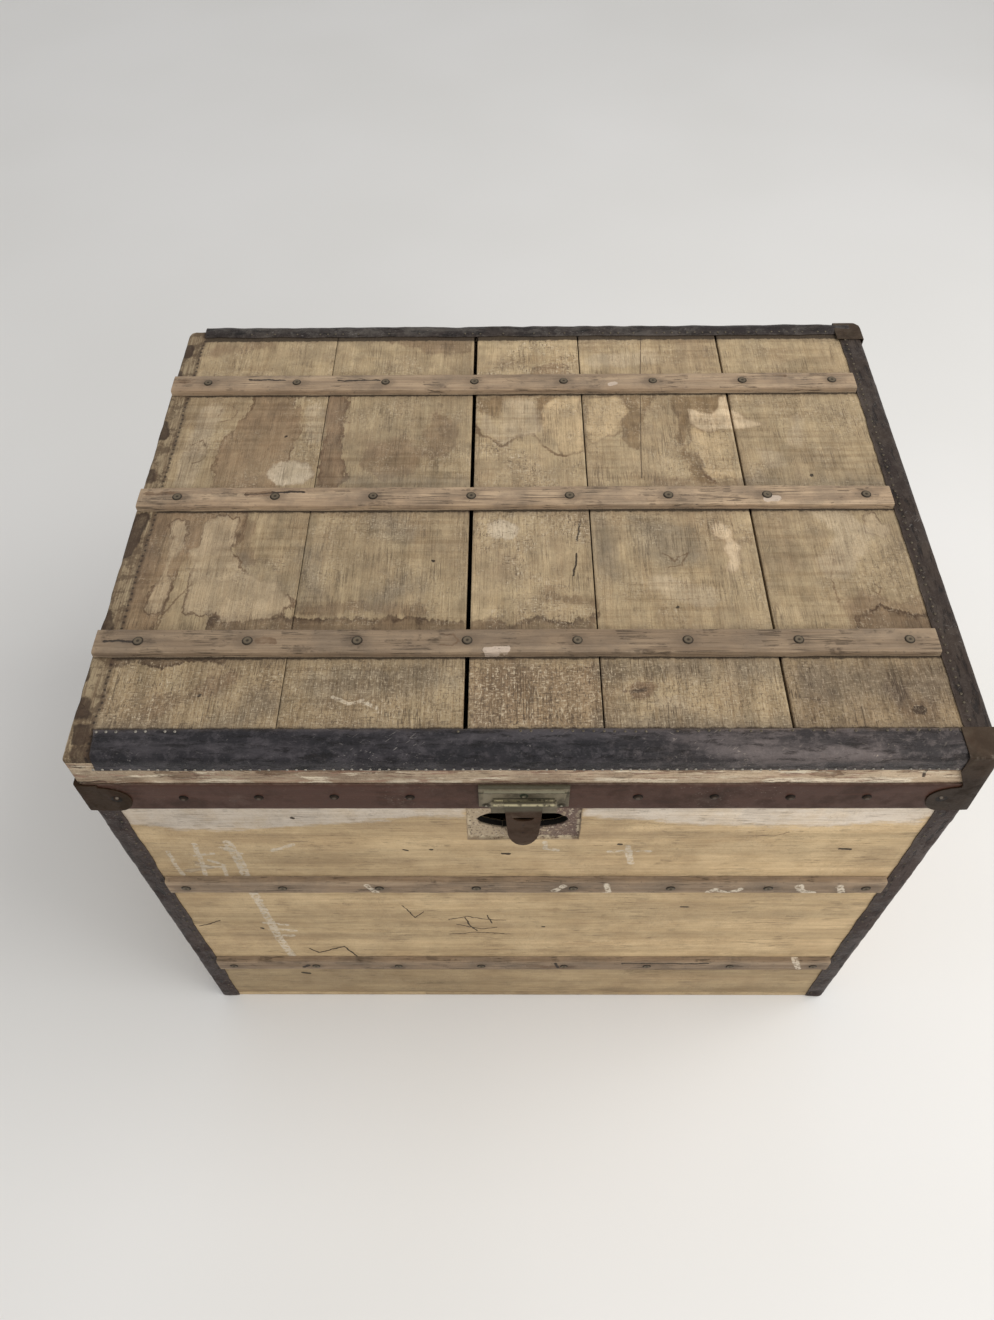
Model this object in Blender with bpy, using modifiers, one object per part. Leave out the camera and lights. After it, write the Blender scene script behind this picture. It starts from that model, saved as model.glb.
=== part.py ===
"""Travel trunk of poplar boards, with nailed slats, bindings, a closing band and metal fittings.

Metres, +Z up, the front faces -Y, and the origin is on the floor under the middle of the trunk.
The lid turns on two hinges at the back, the hasp tongue turns on the lid's plate, and a
handle swings on each side.
"""

import math

import bmesh
import bpy
from mathutils import Matrix, Vector

# Overall sizes, over the lid's bindings and its closing band
TRUNK_WIDTH = 0.800
TRUNK_DEPTH = 0.600
TRUNK_HEIGHT = 0.612
LID_HEIGHT = 0.090

# Clearance between pieces that touch, and how far a cutter reaches past what it cuts
FIT = 0.0003
OVERRUN = 0.010

# Boards
WALL = 0.011
LID_PLANK = 0.009
BOTTOM = 0.010
CASE_INSET = 0.0033
EDGE_RADIUS = 0.005
CORNER_RADIUS = 0.008
ROUND_STEPS = 3

# The lid's planks run front to back, and their joints have opened as the wood shrank
PLANK_JOINT_SHARES = (0.2275, 0.4325, 0.5825, 0.78625)
PLANK_GAPS = (0.0008, 0.0042, 0.0014, 0.0024)
BOTTOM_JOINT_SHARES = (0.34, 0.66)

# Slats
SLAT_WIDTH = 0.028
SLAT_THICKNESS = 0.007
SLAT_EDGE = 0.0018
SLAT_END_GAP = 0.0010
LOW_SLAT_HEIGHT = 0.1275
HIGH_SLAT_HEIGHT = 0.357
LID_SLAT_SHARES = (0.2025, 0.513, 0.8165)
LID_SLAT_END = 0.003

# Nails in the slats, and rivets in the band and the fittings
NAIL_RADIUS = 0.0050
NAIL_CROWN = 0.0034
NAIL_HEIGHT = 0.0012
NAIL_SINK = 0.0010
NAIL_SIDES = 8
LID_NAILS = 8
LID_NAIL_START = 0.040
LID_NAIL_END = 0.026
CASE_NAILS = 8
SIDE_NAILS = 6
CASE_NAIL_END = 0.019
RIVET_RADIUS = 0.0032
RIVET_CROWN = 0.0020
RIVET_HEIGHT = 0.0010
RIVET_SINK = 0.0006
RIVET_SIDES = 6
BAND_RIVET_PITCH = 0.068

# Bindings and band
BINDING = 0.0018
BINDING_DROP = 0.022
FRONT_BINDING_REACH = 0.030
BACK_BINDING_REACH = 0.023
SIDE_BINDING_REACH = 0.026
BINDING_LEFT_END = 0.022
BINDING_UNDER_CAP = 0.012
BAND_HEIGHT = 0.045
CORNER_BINDING = 0.0228
CORNER_BINDING_FOOT = 0.002

# Rim inside the case, which guides the lid
RIM = 0.006
RIM_ABOVE = 0.012
RIM_BELOW = 0.014

# Corner caps
CAP = 0.0010
CAP_WIDTH = 0.030
CAP_THROAT = 0.020
CAP_TONGUE = 0.044
CAP_TONGUE_HEEL = 0.0275
CAP_TONGUE_SHOULDER = 0.014
CAP_NOSE_RISE = 0.0223
CAP_TONGUE_RISE = 0.0418
CAP_NOSE_STEPS = 5
CAP_RIVET_INSET = 0.031

# Place of the lost lock
LOCK_X = -0.0025
LOCK_RECESS_WIDTH = 0.1065
LOCK_RECESS_DROP = 0.067
LOCK_RECESS_DEPTH = 0.003
LOCK_HOLE_X = -0.0035
LOCK_HOLE_DROP = 0.0317
LOCK_HOLE_WIDTH = 0.0865
LOCK_HOLE_HEIGHT = 0.036
LOCK_HOLE_STEPS = 28

# Hasp on the lid's front
HASP_X = -0.003
HASP_PLATE = 0.0018
HASP_HALF_WIDTH = 0.0405
HASP_FOOT_HALF_WIDTH = 0.0300
HASP_TOP = 0.046
HASP_NOTCH = 0.008
HASP_NOTCH_SLOPE = 0.0010
HASP_FOOT = 0.0035
HASP_NOTCH_RADIUS = 0.004
HASP_BEAD_RISE = 0.0012
HASP_BEAD_HEIGHT = 0.0045
HASP_BEAD_DROP = 0.0065
HASP_BEAD_INSET = 0.0045
HASP_AXIS_RISE = 0.019
HASP_SCREW_RISE = 0.0095
HASP_RIVET_INSET = 0.0065
HASP_RIVET_RISE = 0.0115
KNUCKLE_RADIUS = 0.0028
KNUCKLE_EAR = 0.009
HASP_PIN_RADIUS = 0.0012
HASP_PIN_HEAD = 0.0018
TONGUE = 0.0020
TONGUE_HALF_WIDTH = 0.0180
TONGUE_NECK_HALF_WIDTH = 0.0150
TONGUE_NECK = 0.054
TONGUE_NOSE = 0.0295
TONGUE_NOSE_STEPS = 12
TONGUE_SLOT_DROP = 0.0275
TONGUE_SLOT_HALF_WIDTH = 0.0100
TONGUE_SLOT_DEPTH = 0.0068
TONGUE_SLOT_STEPS = 8

# Lid hinges
HINGE_SPACING = 0.460
HINGE_WIDTH = 0.044
HINGE_LEAF = 0.0018
UPPER_LEAF_LENGTH = 0.042
LOWER_LEAF_LENGTH = 0.070
LEAF_CORNER = 0.008
HINGE_BARREL_RADIUS = 0.0045
HINGE_PIN_RADIUS = 0.0022
HINGE_PIN_HEAD_RADIUS = 0.0034
HINGE_PIN_HEAD = 0.0015
HINGE_OUTER_KNUCKLE = 0.011
HINGE_WEB = 0.0022
BARREL_SIDES = 16
BORE_GAP = 0.0004
WEB_INSET = 0.0004
STOP_LENGTH = 0.0106
STOP_THICKNESS = 0.0022
STOP_DEGREES = 152
LID_OPEN_DEGREES = 100

# Side handles
HANDLE_PLATE = 0.0020
HANDLE_PLATE_WIDTH = 0.168
HANDLE_PLATE_HEIGHT = 0.044
HANDLE_STAND_OFF = 0.0065
HANDLE_ROD_RADIUS = 0.0040
HANDLE_WIDTH = 0.104
HANDLE_DROP = 0.050
HANDLE_PIN_BEND = 0.008
HANDLE_GRIP_BEND = 0.018
HANDLE_BEND_STEPS = 5
HANDLE_PIN_OVERHANG = 0.0015
LUG_RADIUS = 0.0072
LUG_WIDTH = 0.010
LUG_WEB = 0.0095
HANDLE_NAIL_INSET = 0.010

# Places that follow from the sizes above
LID_X = TRUNK_WIDTH / 2 - BINDING - FIT
LID_Y = TRUNK_DEPTH / 2 - BINDING - FIT
LID_TOP = TRUNK_HEIGHT - BINDING - FIT
LID_FOOT = TRUNK_HEIGHT - LID_HEIGHT
LID_UNDER_PLANK = LID_TOP - LID_PLANK
CASE_X = TRUNK_WIDTH / 2 - CASE_INSET
CASE_Y = TRUNK_DEPTH / 2 - CASE_INSET
CASE_TOP = LID_FOOT - FIT
BAND_TOP = LID_FOOT + BAND_HEIGHT
HINGE_Y = TRUNK_DEPTH / 2 + FIT + HINGE_BARREL_RADIUS
HINGE_Z = LID_FOOT
HASP_FACE = -TRUNK_DEPTH / 2 - FIT - HASP_PLATE
HASP_AXIS_Y = HASP_FACE - FIT - KNUCKLE_RADIUS
HASP_AXIS_Z = LID_FOOT + HASP_AXIS_RISE
HIGH_SLAT_TOP = HIGH_SLAT_HEIGHT + SLAT_WIDTH / 2
HANDLE_HANG = HANDLE_DROP + HANDLE_ROD_RADIUS
HANDLE_HEIGHT = (CASE_TOP + HIGH_SLAT_TOP + HANDLE_HANG - HANDLE_PLATE_HEIGHT / 2) / 2
HANDLE_FACE = CASE_X + FIT + HANDLE_PLATE
HANDLE_AXIS_X = HANDLE_FACE + HANDLE_STAND_OFF

# Finishes: colour, roughness and metallic value
FINISHES = {
    "lid_poplar": ((0.42, 0.31, 0.19), 0.75, 0.0),
    "case_poplar": ((0.52, 0.38, 0.20), 0.75, 0.0),
    "slat_wood": ((0.33, 0.25, 0.18), 0.70, 0.0),
    "black_binding": ((0.050, 0.045, 0.048), 0.55, 0.0),
    "brown_binding": ((0.075, 0.060, 0.052), 0.55, 0.0),
    "red_brown_band": ((0.115, 0.060, 0.045), 0.60, 0.0),
    "dark_iron": ((0.070, 0.062, 0.048), 0.50, 0.8),
    "old_brass": ((0.140, 0.120, 0.075), 0.45, 0.8),
}

# How each extrusion axis lies: an outline's first and second places, then the axis itself
TURNS = {
    "X": Matrix(((0, 0, 1), (1, 0, 0), (0, 1, 0))),
    "Y": Matrix(((1, 0, 0), (0, 0, -1), (0, 1, 0))),
    "Z": Matrix(((1, 0, 0), (0, 1, 0), (0, 0, 1))),
}
AXIS_VECTORS = {"X": Vector((1, 0, 0)), "Y": Vector((0, 1, 0)), "Z": Vector((0, 0, 1))}


def clear_scene():
    for obj in list(bpy.data.objects):
        bpy.data.objects.remove(obj, do_unlink=True)


def collection(name):
    made = bpy.data.collections.new(name)
    bpy.context.scene.collection.children.link(made)
    return made


def add_object(name, data, home):
    obj = bpy.data.objects.new(name, data)
    home.objects.link(obj)
    if home is CUTTERS:
        obj.hide_render = True
        obj.display_type = "WIRE"
    return obj


def finish(obj, kind):
    """Give the object its own material, of one of the trunk's finishes."""
    colour, roughness, metallic = FINISHES[kind]
    made = bpy.data.materials.new(f"{obj.name}_{kind}")
    made.use_nodes = True
    shader = made.node_tree.nodes["Principled BSDF"]
    shader.inputs["Base Color"].default_value = (*colour, 1.0)
    shader.inputs["Roughness"].default_value = roughness
    shader.inputs["Metallic"].default_value = metallic
    obj.data.materials.append(made)
    return obj


def mesh_object(name, shape, home, place):
    mesh = bpy.data.meshes.new(name)
    bmesh.ops.recalc_face_normals(shape, faces=shape.faces)
    shape.to_mesh(mesh)
    shape.free()
    obj = add_object(name, mesh, home)
    obj.location = place
    return obj


def box(name, low, high, home):
    """A box between two opposite corners, with its origin in its middle."""
    size = [abs(b - a) for a, b in zip(low, high)]
    middle = [(a + b) / 2 for a, b in zip(low, high)]
    shape = bmesh.new()
    bmesh.ops.create_cube(shape, size=1, matrix=Matrix.Diagonal((*size, 1)))
    return mesh_object(name, shape, home, middle)


def cylinder(name, radius, axis, low, high, centre, sides, home):
    """A round bar along an axis between two places; centre gives its two other coordinates."""
    shape = bmesh.new()
    turn = TURNS[axis].to_4x4()
    length = abs(high - low)
    bmesh.ops.create_cone(
        shape,
        cap_ends=True,
        segments=sides,
        radius1=radius,
        radius2=radius,
        depth=length,
        matrix=turn,
    )
    obj = mesh_object(name, shape, home, (0, 0, 0))
    obj.location = AXIS_VECTORS[axis] * ((low + high) / 2) + turn.to_3x3() @ Vector((*centre, 0))
    obj.data.shade_smooth()
    obj.data.set_sharp_from_angle(angle=math.radians(40))
    return obj


def plate(name, outline, axis, low, high, home):
    """A flat outline, given by its two coordinates across the axis, extruded along that axis."""
    drawn = bpy.data.curves.new(name, "CURVE")
    drawn.dimensions = "2D"
    drawn.fill_mode = "BOTH"
    drawn.extrude = abs(high - low) / 2
    spline = drawn.splines.new("POLY")
    spline.points.add(len(outline) - 1)
    for point, (across, up) in zip(spline.points, outline):
        point.co = (across, up, 0, 1)
    spline.use_cyclic_u = True
    curve = add_object(name + "_outline", drawn, home)
    turned = TURNS[axis].to_4x4()
    curve.matrix_world = Matrix.Translation(AXIS_VECTORS[axis] * ((low + high) / 2)) @ turned
    return as_mesh(curve, name, home)


def as_mesh(curve, name, home):
    """Turn a curve into a welded mesh object of its own."""
    bpy.context.view_layer.update()
    seen = curve.evaluated_get(bpy.context.evaluated_depsgraph_get())
    mesh = bpy.data.meshes.new_from_object(seen)
    shape = bmesh.new()
    shape.from_mesh(mesh)
    bmesh.ops.remove_doubles(shape, verts=shape.verts, dist=FIT / 100)
    bmesh.ops.recalc_face_normals(shape, faces=shape.faces)
    shape.to_mesh(mesh)
    shape.free()
    mesh.name = name
    place = curve.matrix_world.copy()
    bpy.data.objects.remove(curve, do_unlink=True)
    obj = add_object(name, mesh, home)
    obj.matrix_world = place
    return obj


def boolean(obj, other, operation):
    step = obj.modifiers.new(f"{operation.lower()}_{other.name}", "BOOLEAN")
    step.operation = operation
    step.solver = "EXACT"
    step.object = other


def fuse(obj, *others):
    for other in others:
        boolean(obj, other, "UNION")
    return obj


def cut(obj, *others):
    for other in others:
        boolean(obj, other, "DIFFERENCE")
    return obj


def soften(obj, width, segments):
    """Round every edge of a plain shape."""
    step = obj.modifiers.new("softened_edges", "BEVEL")
    step.width = width
    step.segments = segments
    step.limit_method = "ANGLE"
    step.angle_limit = math.radians(60)
    return obj


def round_edges(obj, radius, segments, chosen):
    """Round the edges whose two ends, in the trunk's coordinates, chosen accepts."""
    bpy.context.view_layer.update()
    place = obj.matrix_world
    shape = bmesh.new()
    shape.from_mesh(obj.data)
    edges = [e for e in shape.edges if chosen(place @ e.verts[0].co, place @ e.verts[1].co)]
    bmesh.ops.bevel(
        shape,
        geom=edges,
        offset=radius,
        offset_type="OFFSET",
        segments=segments,
        profile=0.5,
        affect="EDGES",
        clamp_overlap=True,
    )
    shape.to_mesh(obj.data)
    shape.free()
    return obj


def near(a, b):
    return abs(a - b) < FIT / 10


def heads(name, places, axis, sign, radius, crown, height, sink, sides):
    """Nail or rivet heads at places on a face whose normal is the signed axis, as one operand."""
    shape = bmesh.new()
    turn = TURNS[axis].to_4x4()
    # The cone's narrow end lies along its +Z, which TURNS maps to -Y for the Y axis.
    outward = -sign if axis == "Y" else sign
    if outward < 0:
        turn = turn @ Matrix.Rotation(math.pi, 4, "X")
    for place in places:
        middle = Vector(place) + AXIS_VECTORS[axis] * (sign * (height - sink) / 2)
        bmesh.ops.create_cone(
            shape,
            cap_ends=True,
            segments=sides,
            radius1=radius,
            radius2=crown,
            depth=height + sink,
            matrix=Matrix.Translation(middle) @ turn,
        )
    return mesh_object(name, shape, CUTTERS, (0, 0, 0))


def nail_heads(name, places, axis, sign):
    return heads(
        name, places, axis, sign, NAIL_RADIUS, NAIL_CROWN, NAIL_HEIGHT, NAIL_SINK, NAIL_SIDES
    )


def rivet_heads(name, places, axis, sign):
    return heads(
        name, places, axis, sign, RIVET_RADIUS, RIVET_CROWN, RIVET_HEIGHT, RIVET_SINK, RIVET_SIDES
    )


def spread(first, last, count):
    """Places from first to last with equal steps."""
    return [first + (last - first) * i / (count - 1) for i in range(count)]


def arc(centre, radius_across, radius_up, start, end, steps):
    """Points on a round or oval arc, with angles in degrees."""
    points = []
    for i in range(steps + 1):
        angle = math.radians(start + (end - start) * i / steps)
        points.append(
            (
                centre[0] + radius_across * math.cos(angle),
                centre[1] + radius_up * math.sin(angle),
            )
        )
    return points


def rounded_rectangle(low, high, radius, steps):
    corners = (
        ((high[0] - radius, high[1] - radius), 0),
        ((low[0] + radius, high[1] - radius), 90),
        ((low[0] + radius, low[1] + radius), 180),
        ((high[0] - radius, low[1] + radius), 270),
    )
    points = []
    for centre, start in corners:
        points += arc(centre, radius, radius, start, start + 90, steps)
    return points


def angle_strip(first_reach, second_reach, radius):
    """Outline of a binding bent round a rounded edge of the wood.

    Its first place is the distance in from the second face, its second the distance in from the
    first face, both from the wood's own corner, so what lies outside the wood is negative.
    """
    inner = radius + FIT
    outer = inner + BINDING
    centre = (radius, radius)
    points = [(first_reach, -FIT)]
    points += arc(centre, inner, inner, 270, 180, ROUND_STEPS)
    points += [(-FIT, second_reach), (-FIT - BINDING, second_reach)]
    points += arc(centre, outer, outer, 180, 270, ROUND_STEPS)
    points += [(first_reach, -FIT - BINDING)]
    return points


def slat(name, low, high, nails, axis, sign, home):
    """One softened slat with its nail heads."""
    made = box(name, low, high, home)
    soften(made, SLAT_EDGE, 1)
    fuse(made, nail_heads(name + "_nails", nails, axis, sign))
    return finish(made, "slat_wood")


def make_case_boards():
    levels = {
        "lower": (BOTTOM + FIT, LOW_SLAT_HEIGHT - FIT / 2),
        "middle": (LOW_SLAT_HEIGHT + FIT / 2, HIGH_SLAT_HEIGHT - FIT / 2),
        "upper": (HIGH_SLAT_HEIGHT + FIT / 2, CASE_TOP),
    }
    two_levels = {
        "lower": (BOTTOM + FIT, HIGH_SLAT_HEIGHT - FIT / 2),
        "upper": (HIGH_SLAT_HEIGHT + FIT / 2, CASE_TOP),
    }
    walls = (
        ("front", levels, (-CASE_X, -CASE_Y), (CASE_X, -CASE_Y + WALL)),
        ("back", two_levels, (-CASE_X, CASE_Y - WALL), (CASE_X, CASE_Y)),
        ("left", two_levels, (-CASE_X, -CASE_Y + WALL + FIT), (-CASE_X + WALL, CASE_Y - WALL - FIT)),
        ("right", two_levels, (CASE_X - WALL, -CASE_Y + WALL + FIT), (CASE_X, CASE_Y - WALL - FIT)),
    )

    def outer_corner(a, b):
        return near(abs(a.x), CASE_X) and near(abs(a.y), CASE_Y) and near(a.x, b.x) and near(a.y, b.y)

    for side, rows, low, high in walls:
        for level, (foot, top) in rows.items():
            board = box(f"{side}_board_{level}", (*low, foot), (*high, top), TRUNK)
            round_edges(board, EDGE_RADIUS, ROUND_STEPS, outer_corner)
            finish(board, "case_poplar")
            if board.name == "front_board_upper":
                cut_lock_place(board)


def cut_lock_place(board):
    """The shallow recess and the oval hole that held the lock."""
    recess = box(
        "lock_recess",
        (LOCK_X - LOCK_RECESS_WIDTH / 2, -CASE_Y - OVERRUN, CASE_TOP - LOCK_RECESS_DROP),
        (LOCK_X + LOCK_RECESS_WIDTH / 2, -CASE_Y + LOCK_RECESS_DEPTH, CASE_TOP + OVERRUN),
        CUTTERS,
    )
    middle = (LOCK_HOLE_X, CASE_TOP - LOCK_HOLE_DROP)
    outline = arc(middle, LOCK_HOLE_WIDTH / 2, LOCK_HOLE_HEIGHT / 2, 0, 360, LOCK_HOLE_STEPS)[:-1]
    hole = plate("lock_hole", outline, "Y", -CASE_Y - OVERRUN, -CASE_Y + WALL + OVERRUN, CUTTERS)
    cut(board, recess, hole)


def make_bottom():
    joints = [(share - 0.5) * 2 * CASE_X for share in BOTTOM_JOINT_SHARES]
    starts = [-CASE_X] + [x + FIT / 2 for x in joints]
    ends = [x - FIT / 2 for x in joints] + [CASE_X]

    def outer_corner(a, b):
        return near(abs(a.x), CASE_X) and near(abs(a.y), CASE_Y) and near(a.x, b.x) and near(a.y, b.y)

    for name, start, end in zip(("left", "middle", "right"), starts, ends):
        plank = box(f"bottom_plank_{name}", (start, -CASE_Y, 0), (end, CASE_Y, BOTTOM), TRUNK)
        round_edges(plank, EDGE_RADIUS, ROUND_STEPS, outer_corner)
        finish(plank, "case_poplar")


def make_case_slats():
    half = SLAT_WIDTH / 2
    end_x = CASE_X - CORNER_BINDING - SLAT_END_GAP
    end_y = CASE_Y - CORNER_BINDING - SLAT_END_GAP
    nail_x = spread(-end_x + CASE_NAIL_END, end_x - CASE_NAIL_END, CASE_NAILS)
    nail_y = spread(-end_y + CASE_NAIL_END, end_y - CASE_NAIL_END, SIDE_NAILS)
    inner = FIT
    outer = FIT + SLAT_THICKNESS
    for level, height in (("lower", LOW_SLAT_HEIGHT), ("upper", HIGH_SLAT_HEIGHT)):
        for side, sign in (("front", -1), ("back", 1)):
            low = (-end_x, sign * (CASE_Y + inner), height - half)
            high = (end_x, sign * (CASE_Y + outer), height + half)
            nails = [(x, sign * (CASE_Y + outer), height) for x in nail_x]
            slat(f"{side}_slat_{level}", low, high, nails, "Y", sign, TRUNK)
        for side, sign in (("left", -1), ("right", 1)):
            low = (sign * (CASE_X + inner), -end_y, height - half)
            high = (sign * (CASE_X + outer), end_y, height + half)
            nails = [(sign * (CASE_X + outer), y, height) for y in nail_y]
            slat(f"{side}_slat_{level}", low, high, nails, "X", sign, TRUNK)


def make_corner_bindings():
    """Angle strips up the four corners of the case."""
    strip = angle_strip(CORNER_BINDING, CORNER_BINDING, EDGE_RADIUS)
    foot = CORNER_BINDING_FOOT
    for front, sy in (("front", -1), ("back", 1)):
        for side, sx in (("left", -1), ("right", 1)):
            outline = [(sx * (CASE_X - u), sy * (CASE_Y - v)) for u, v in strip]
            made = plate(f"corner_binding_{front}_{side}", outline, "Z", foot, CASE_TOP - FIT, TRUNK)
            finish(made, "brown_binding")


def make_inner_rim():
    """Strips inside the case's top edge, which stand up into the lid."""
    x = CASE_X - WALL - FIT
    y = CASE_Y - WALL - FIT
    foot = CASE_TOP - RIM_BELOW
    top = CASE_TOP + RIM_ABOVE
    front = box("inner_rim_front", (-x + RIM + FIT, -y, foot), (x - RIM - FIT, -y + RIM, top), TRUNK)
    left = box("inner_rim_left", (-x, -y, foot), (-x + RIM, y, top), TRUNK)
    right = box("inner_rim_right", (x - RIM, -y, foot), (x, y, top), TRUNK)
    for strip in (front, left, right):
        finish(strip, "case_poplar")


def make_lid_boards():
    joints = [(share - 0.5) * TRUNK_WIDTH for share in PLANK_JOINT_SHARES]
    starts = [-LID_X] + [x + gap / 2 for x, gap in zip(joints, PLANK_GAPS)]
    ends = [x - gap / 2 for x, gap in zip(joints, PLANK_GAPS)] + [LID_X]

    def outer_corner(a, b):
        return near(abs(a.x), LID_X) and near(abs(a.y), LID_Y) and near(a.x, b.x) and near(a.y, b.y)

    def on_rim(p):
        """Whether a top corner lies on the lid's outline, its rounded corners with it."""
        past_x = abs(p.x) - (LID_X - CORNER_RADIUS)
        past_y = abs(p.y) - (LID_Y - CORNER_RADIUS)
        if past_x > FIT and past_y > FIT:
            return math.hypot(past_x, past_y) > CORNER_RADIUS - FIT
        return near(abs(p.x), LID_X) or near(abs(p.y), LID_Y)

    def top_rim(a, b):
        if not (near(a.z, LID_TOP) and near(b.z, LID_TOP)):
            return False
        middle = (a + b) / 2
        return on_rim(a) and on_rim(b) and on_rim(middle)

    names = ("left", "mid_left", "middle", "mid_right", "right")
    for name, start, end in zip(names, starts, ends):
        plank = box(f"lid_plank_{name}", (start, -LID_Y, LID_UNDER_PLANK), (end, LID_Y, LID_TOP), TRUNK)
        round_edges(plank, CORNER_RADIUS, ROUND_STEPS, outer_corner)
        round_edges(plank, EDGE_RADIUS, ROUND_STEPS, top_rim)
        finish(plank, "lid_poplar")
    top = LID_UNDER_PLANK - FIT
    inner_y = LID_Y - WALL
    rims = (
        ("front", (-LID_X, -LID_Y), (LID_X, -inner_y)),
        ("back", (-LID_X, inner_y), (LID_X, LID_Y)),
        ("left", (-LID_X, -inner_y + FIT), (-LID_X + WALL, inner_y - FIT)),
        ("right", (LID_X - WALL, -inner_y + FIT), (LID_X, inner_y - FIT)),
    )
    for name, low, high in rims:
        rim = box(f"lid_rim_{name}", (*low, LID_FOOT), (*high, top), TRUNK)
        round_edges(rim, CORNER_RADIUS, ROUND_STEPS, outer_corner)
        finish(rim, "lid_poplar")


def make_lid_slats():
    half = SLAT_WIDTH / 2
    start = -LID_X + LID_SLAT_END
    end = TRUNK_WIDTH / 2 - SIDE_BINDING_REACH - SLAT_END_GAP
    top = LID_TOP + FIT + SLAT_THICKNESS
    nail_x = spread(start + LID_NAIL_START, end - LID_NAIL_END, LID_NAILS)
    for name, share in zip(("front", "middle", "back"), LID_SLAT_SHARES):
        y = (share - 0.5) * TRUNK_DEPTH
        nails = [(x, y, top) for x in nail_x]
        low = (start, y - half, LID_TOP + FIT)
        high = (end, y + half, top)
        slat(f"lid_slat_{name}", low, high, nails, "Z", 1, TRUNK)


def make_lid_bindings():
    """Angle strips on the lid's front, back and right edges. The left one is lost."""
    edge = FIT + BINDING
    front = angle_strip(FRONT_BINDING_REACH - edge, BINDING_DROP - edge, EDGE_RADIUS)
    back = angle_strip(BACK_BINDING_REACH - edge, BINDING_DROP - edge, EDGE_RADIUS)
    side = angle_strip(SIDE_BINDING_REACH - edge, BINDING_DROP - edge, EDGE_RADIUS)
    start = -TRUNK_WIDTH / 2 + BINDING_LEFT_END
    end = TRUNK_WIDTH / 2 - BINDING_UNDER_CAP
    outline = [(-LID_Y + u, LID_TOP - v) for u, v in front]
    finish(plate("lid_binding_front", outline, "X", start, end, TRUNK), "black_binding")
    outline = [(LID_Y - u, LID_TOP - v) for u, v in back]
    finish(plate("lid_binding_back", outline, "X", start, end, TRUNK), "black_binding")
    outline = [(LID_X - u, LID_TOP - v) for u, v in side]
    low = -TRUNK_DEPTH / 2 + FRONT_BINDING_REACH + FIT
    high = TRUNK_DEPTH / 2 - BACK_BINDING_REACH - FIT
    finish(plate("lid_binding_right", outline, "Y", low, high, TRUNK), "brown_binding")


def rivet_places(middle, reach):
    """Places of the band's rivets along one side, from half a pitch either way of its middle."""
    count = int(reach / BAND_RIVET_PITCH - 1 / 2)
    steps = [i + 1 / 2 for i in range(count + 1)]
    return [middle + sign * BAND_RIVET_PITCH * step for sign in (-1, 1) for step in steps]


def make_lid_band():
    """The closing band round the lid's foot, with its rivets."""
    inner_x = LID_X + FIT
    inner_y = LID_Y + FIT
    outer_x = TRUNK_WIDTH / 2
    outer_y = TRUNK_DEPTH / 2
    outline = rounded_rectangle(
        (-outer_x, -outer_y), (outer_x, outer_y), CORNER_RADIUS + FIT + BINDING, ROUND_STEPS
    )
    hollow = rounded_rectangle(
        (-inner_x, -inner_y), (inner_x, inner_y), CORNER_RADIUS + FIT, ROUND_STEPS
    )
    band = plate("lid_band", outline, "Z", LID_FOOT, BAND_TOP, TRUNK)
    inside = plate("lid_band_inside", hollow, "Z", LID_FOOT - OVERRUN, BAND_TOP + OVERRUN, CUTTERS)
    cut(band, inside)
    height = LID_FOOT + BAND_HEIGHT / 2
    # Rivets stop where a corner cap or the hasp plate lies over the band.
    free_x = outer_x - CAP_TONGUE - RIVET_RADIUS * 2
    free_y = outer_y - CAP_TONGUE - RIVET_RADIUS * 2
    covered = HASP_HALF_WIDTH + RIVET_RADIUS * 2
    places = [x for x in rivet_places(HASP_X, free_x) if abs(x - HASP_X) > covered]
    spots = [(x, -outer_y, height) for x in places]
    fuse(band, rivet_heads("band_rivets_front", spots, "Y", -1))
    covered = HINGE_WIDTH / 2 + RIVET_RADIUS * 2
    places = [x for x in rivet_places(0, free_x) if abs(abs(x) - HINGE_SPACING / 2) > covered]
    spots = [(x, outer_y, height) for x in places]
    fuse(band, rivet_heads("band_rivets_back", spots, "Y", 1))
    for name, sign in (("left", -1), ("right", 1)):
        spots = [(sign * outer_x, y, height) for y in rivet_places(0, free_y)]
        fuse(band, rivet_heads(f"band_rivets_{name}", spots, "X", sign))
    finish(band, "red_brown_band")


def cap_outline(outer, top):
    """Side of a cap that is cut away: all that lies inward of its strip and its tongue.

    The first place is the distance out from the trunk's middle, the second the height.
    """
    far = outer - CAP_TONGUE - OVERRUN
    nose = LID_FOOT + CAP_NOSE_RISE
    heel_x = outer - CAP_TONGUE_HEEL
    heel = arc(
        (heel_x, nose), CAP_TONGUE - CAP_TONGUE_HEEL, CAP_NOSE_RISE + FIT, -90, -180, CAP_NOSE_STEPS
    )
    long_way = CAP_TONGUE - CAP_TONGUE_SHOULDER
    high_way = CAP_TONGUE_RISE - CAP_NOSE_RISE
    turn = math.degrees(math.acos((CAP_THROAT - CAP_TONGUE_SHOULDER) / long_way))
    shoulder_x = outer - CAP_TONGUE_SHOULDER
    shoulder = arc((shoulder_x, nose), long_way, high_way, 180, 180 - turn, CAP_NOSE_STEPS)
    return [
        (far, LID_FOOT - OVERRUN),
        (heel_x, LID_FOOT - OVERRUN),
        *heel[:-1],
        *shoulder,
        (outer - CAP_THROAT, BAND_TOP),
        (outer - CAP_WIDTH, TRUNK_HEIGHT - BINDING_DROP),
        (outer - CAP_WIDTH, top),
        (far, top),
    ]


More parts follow.
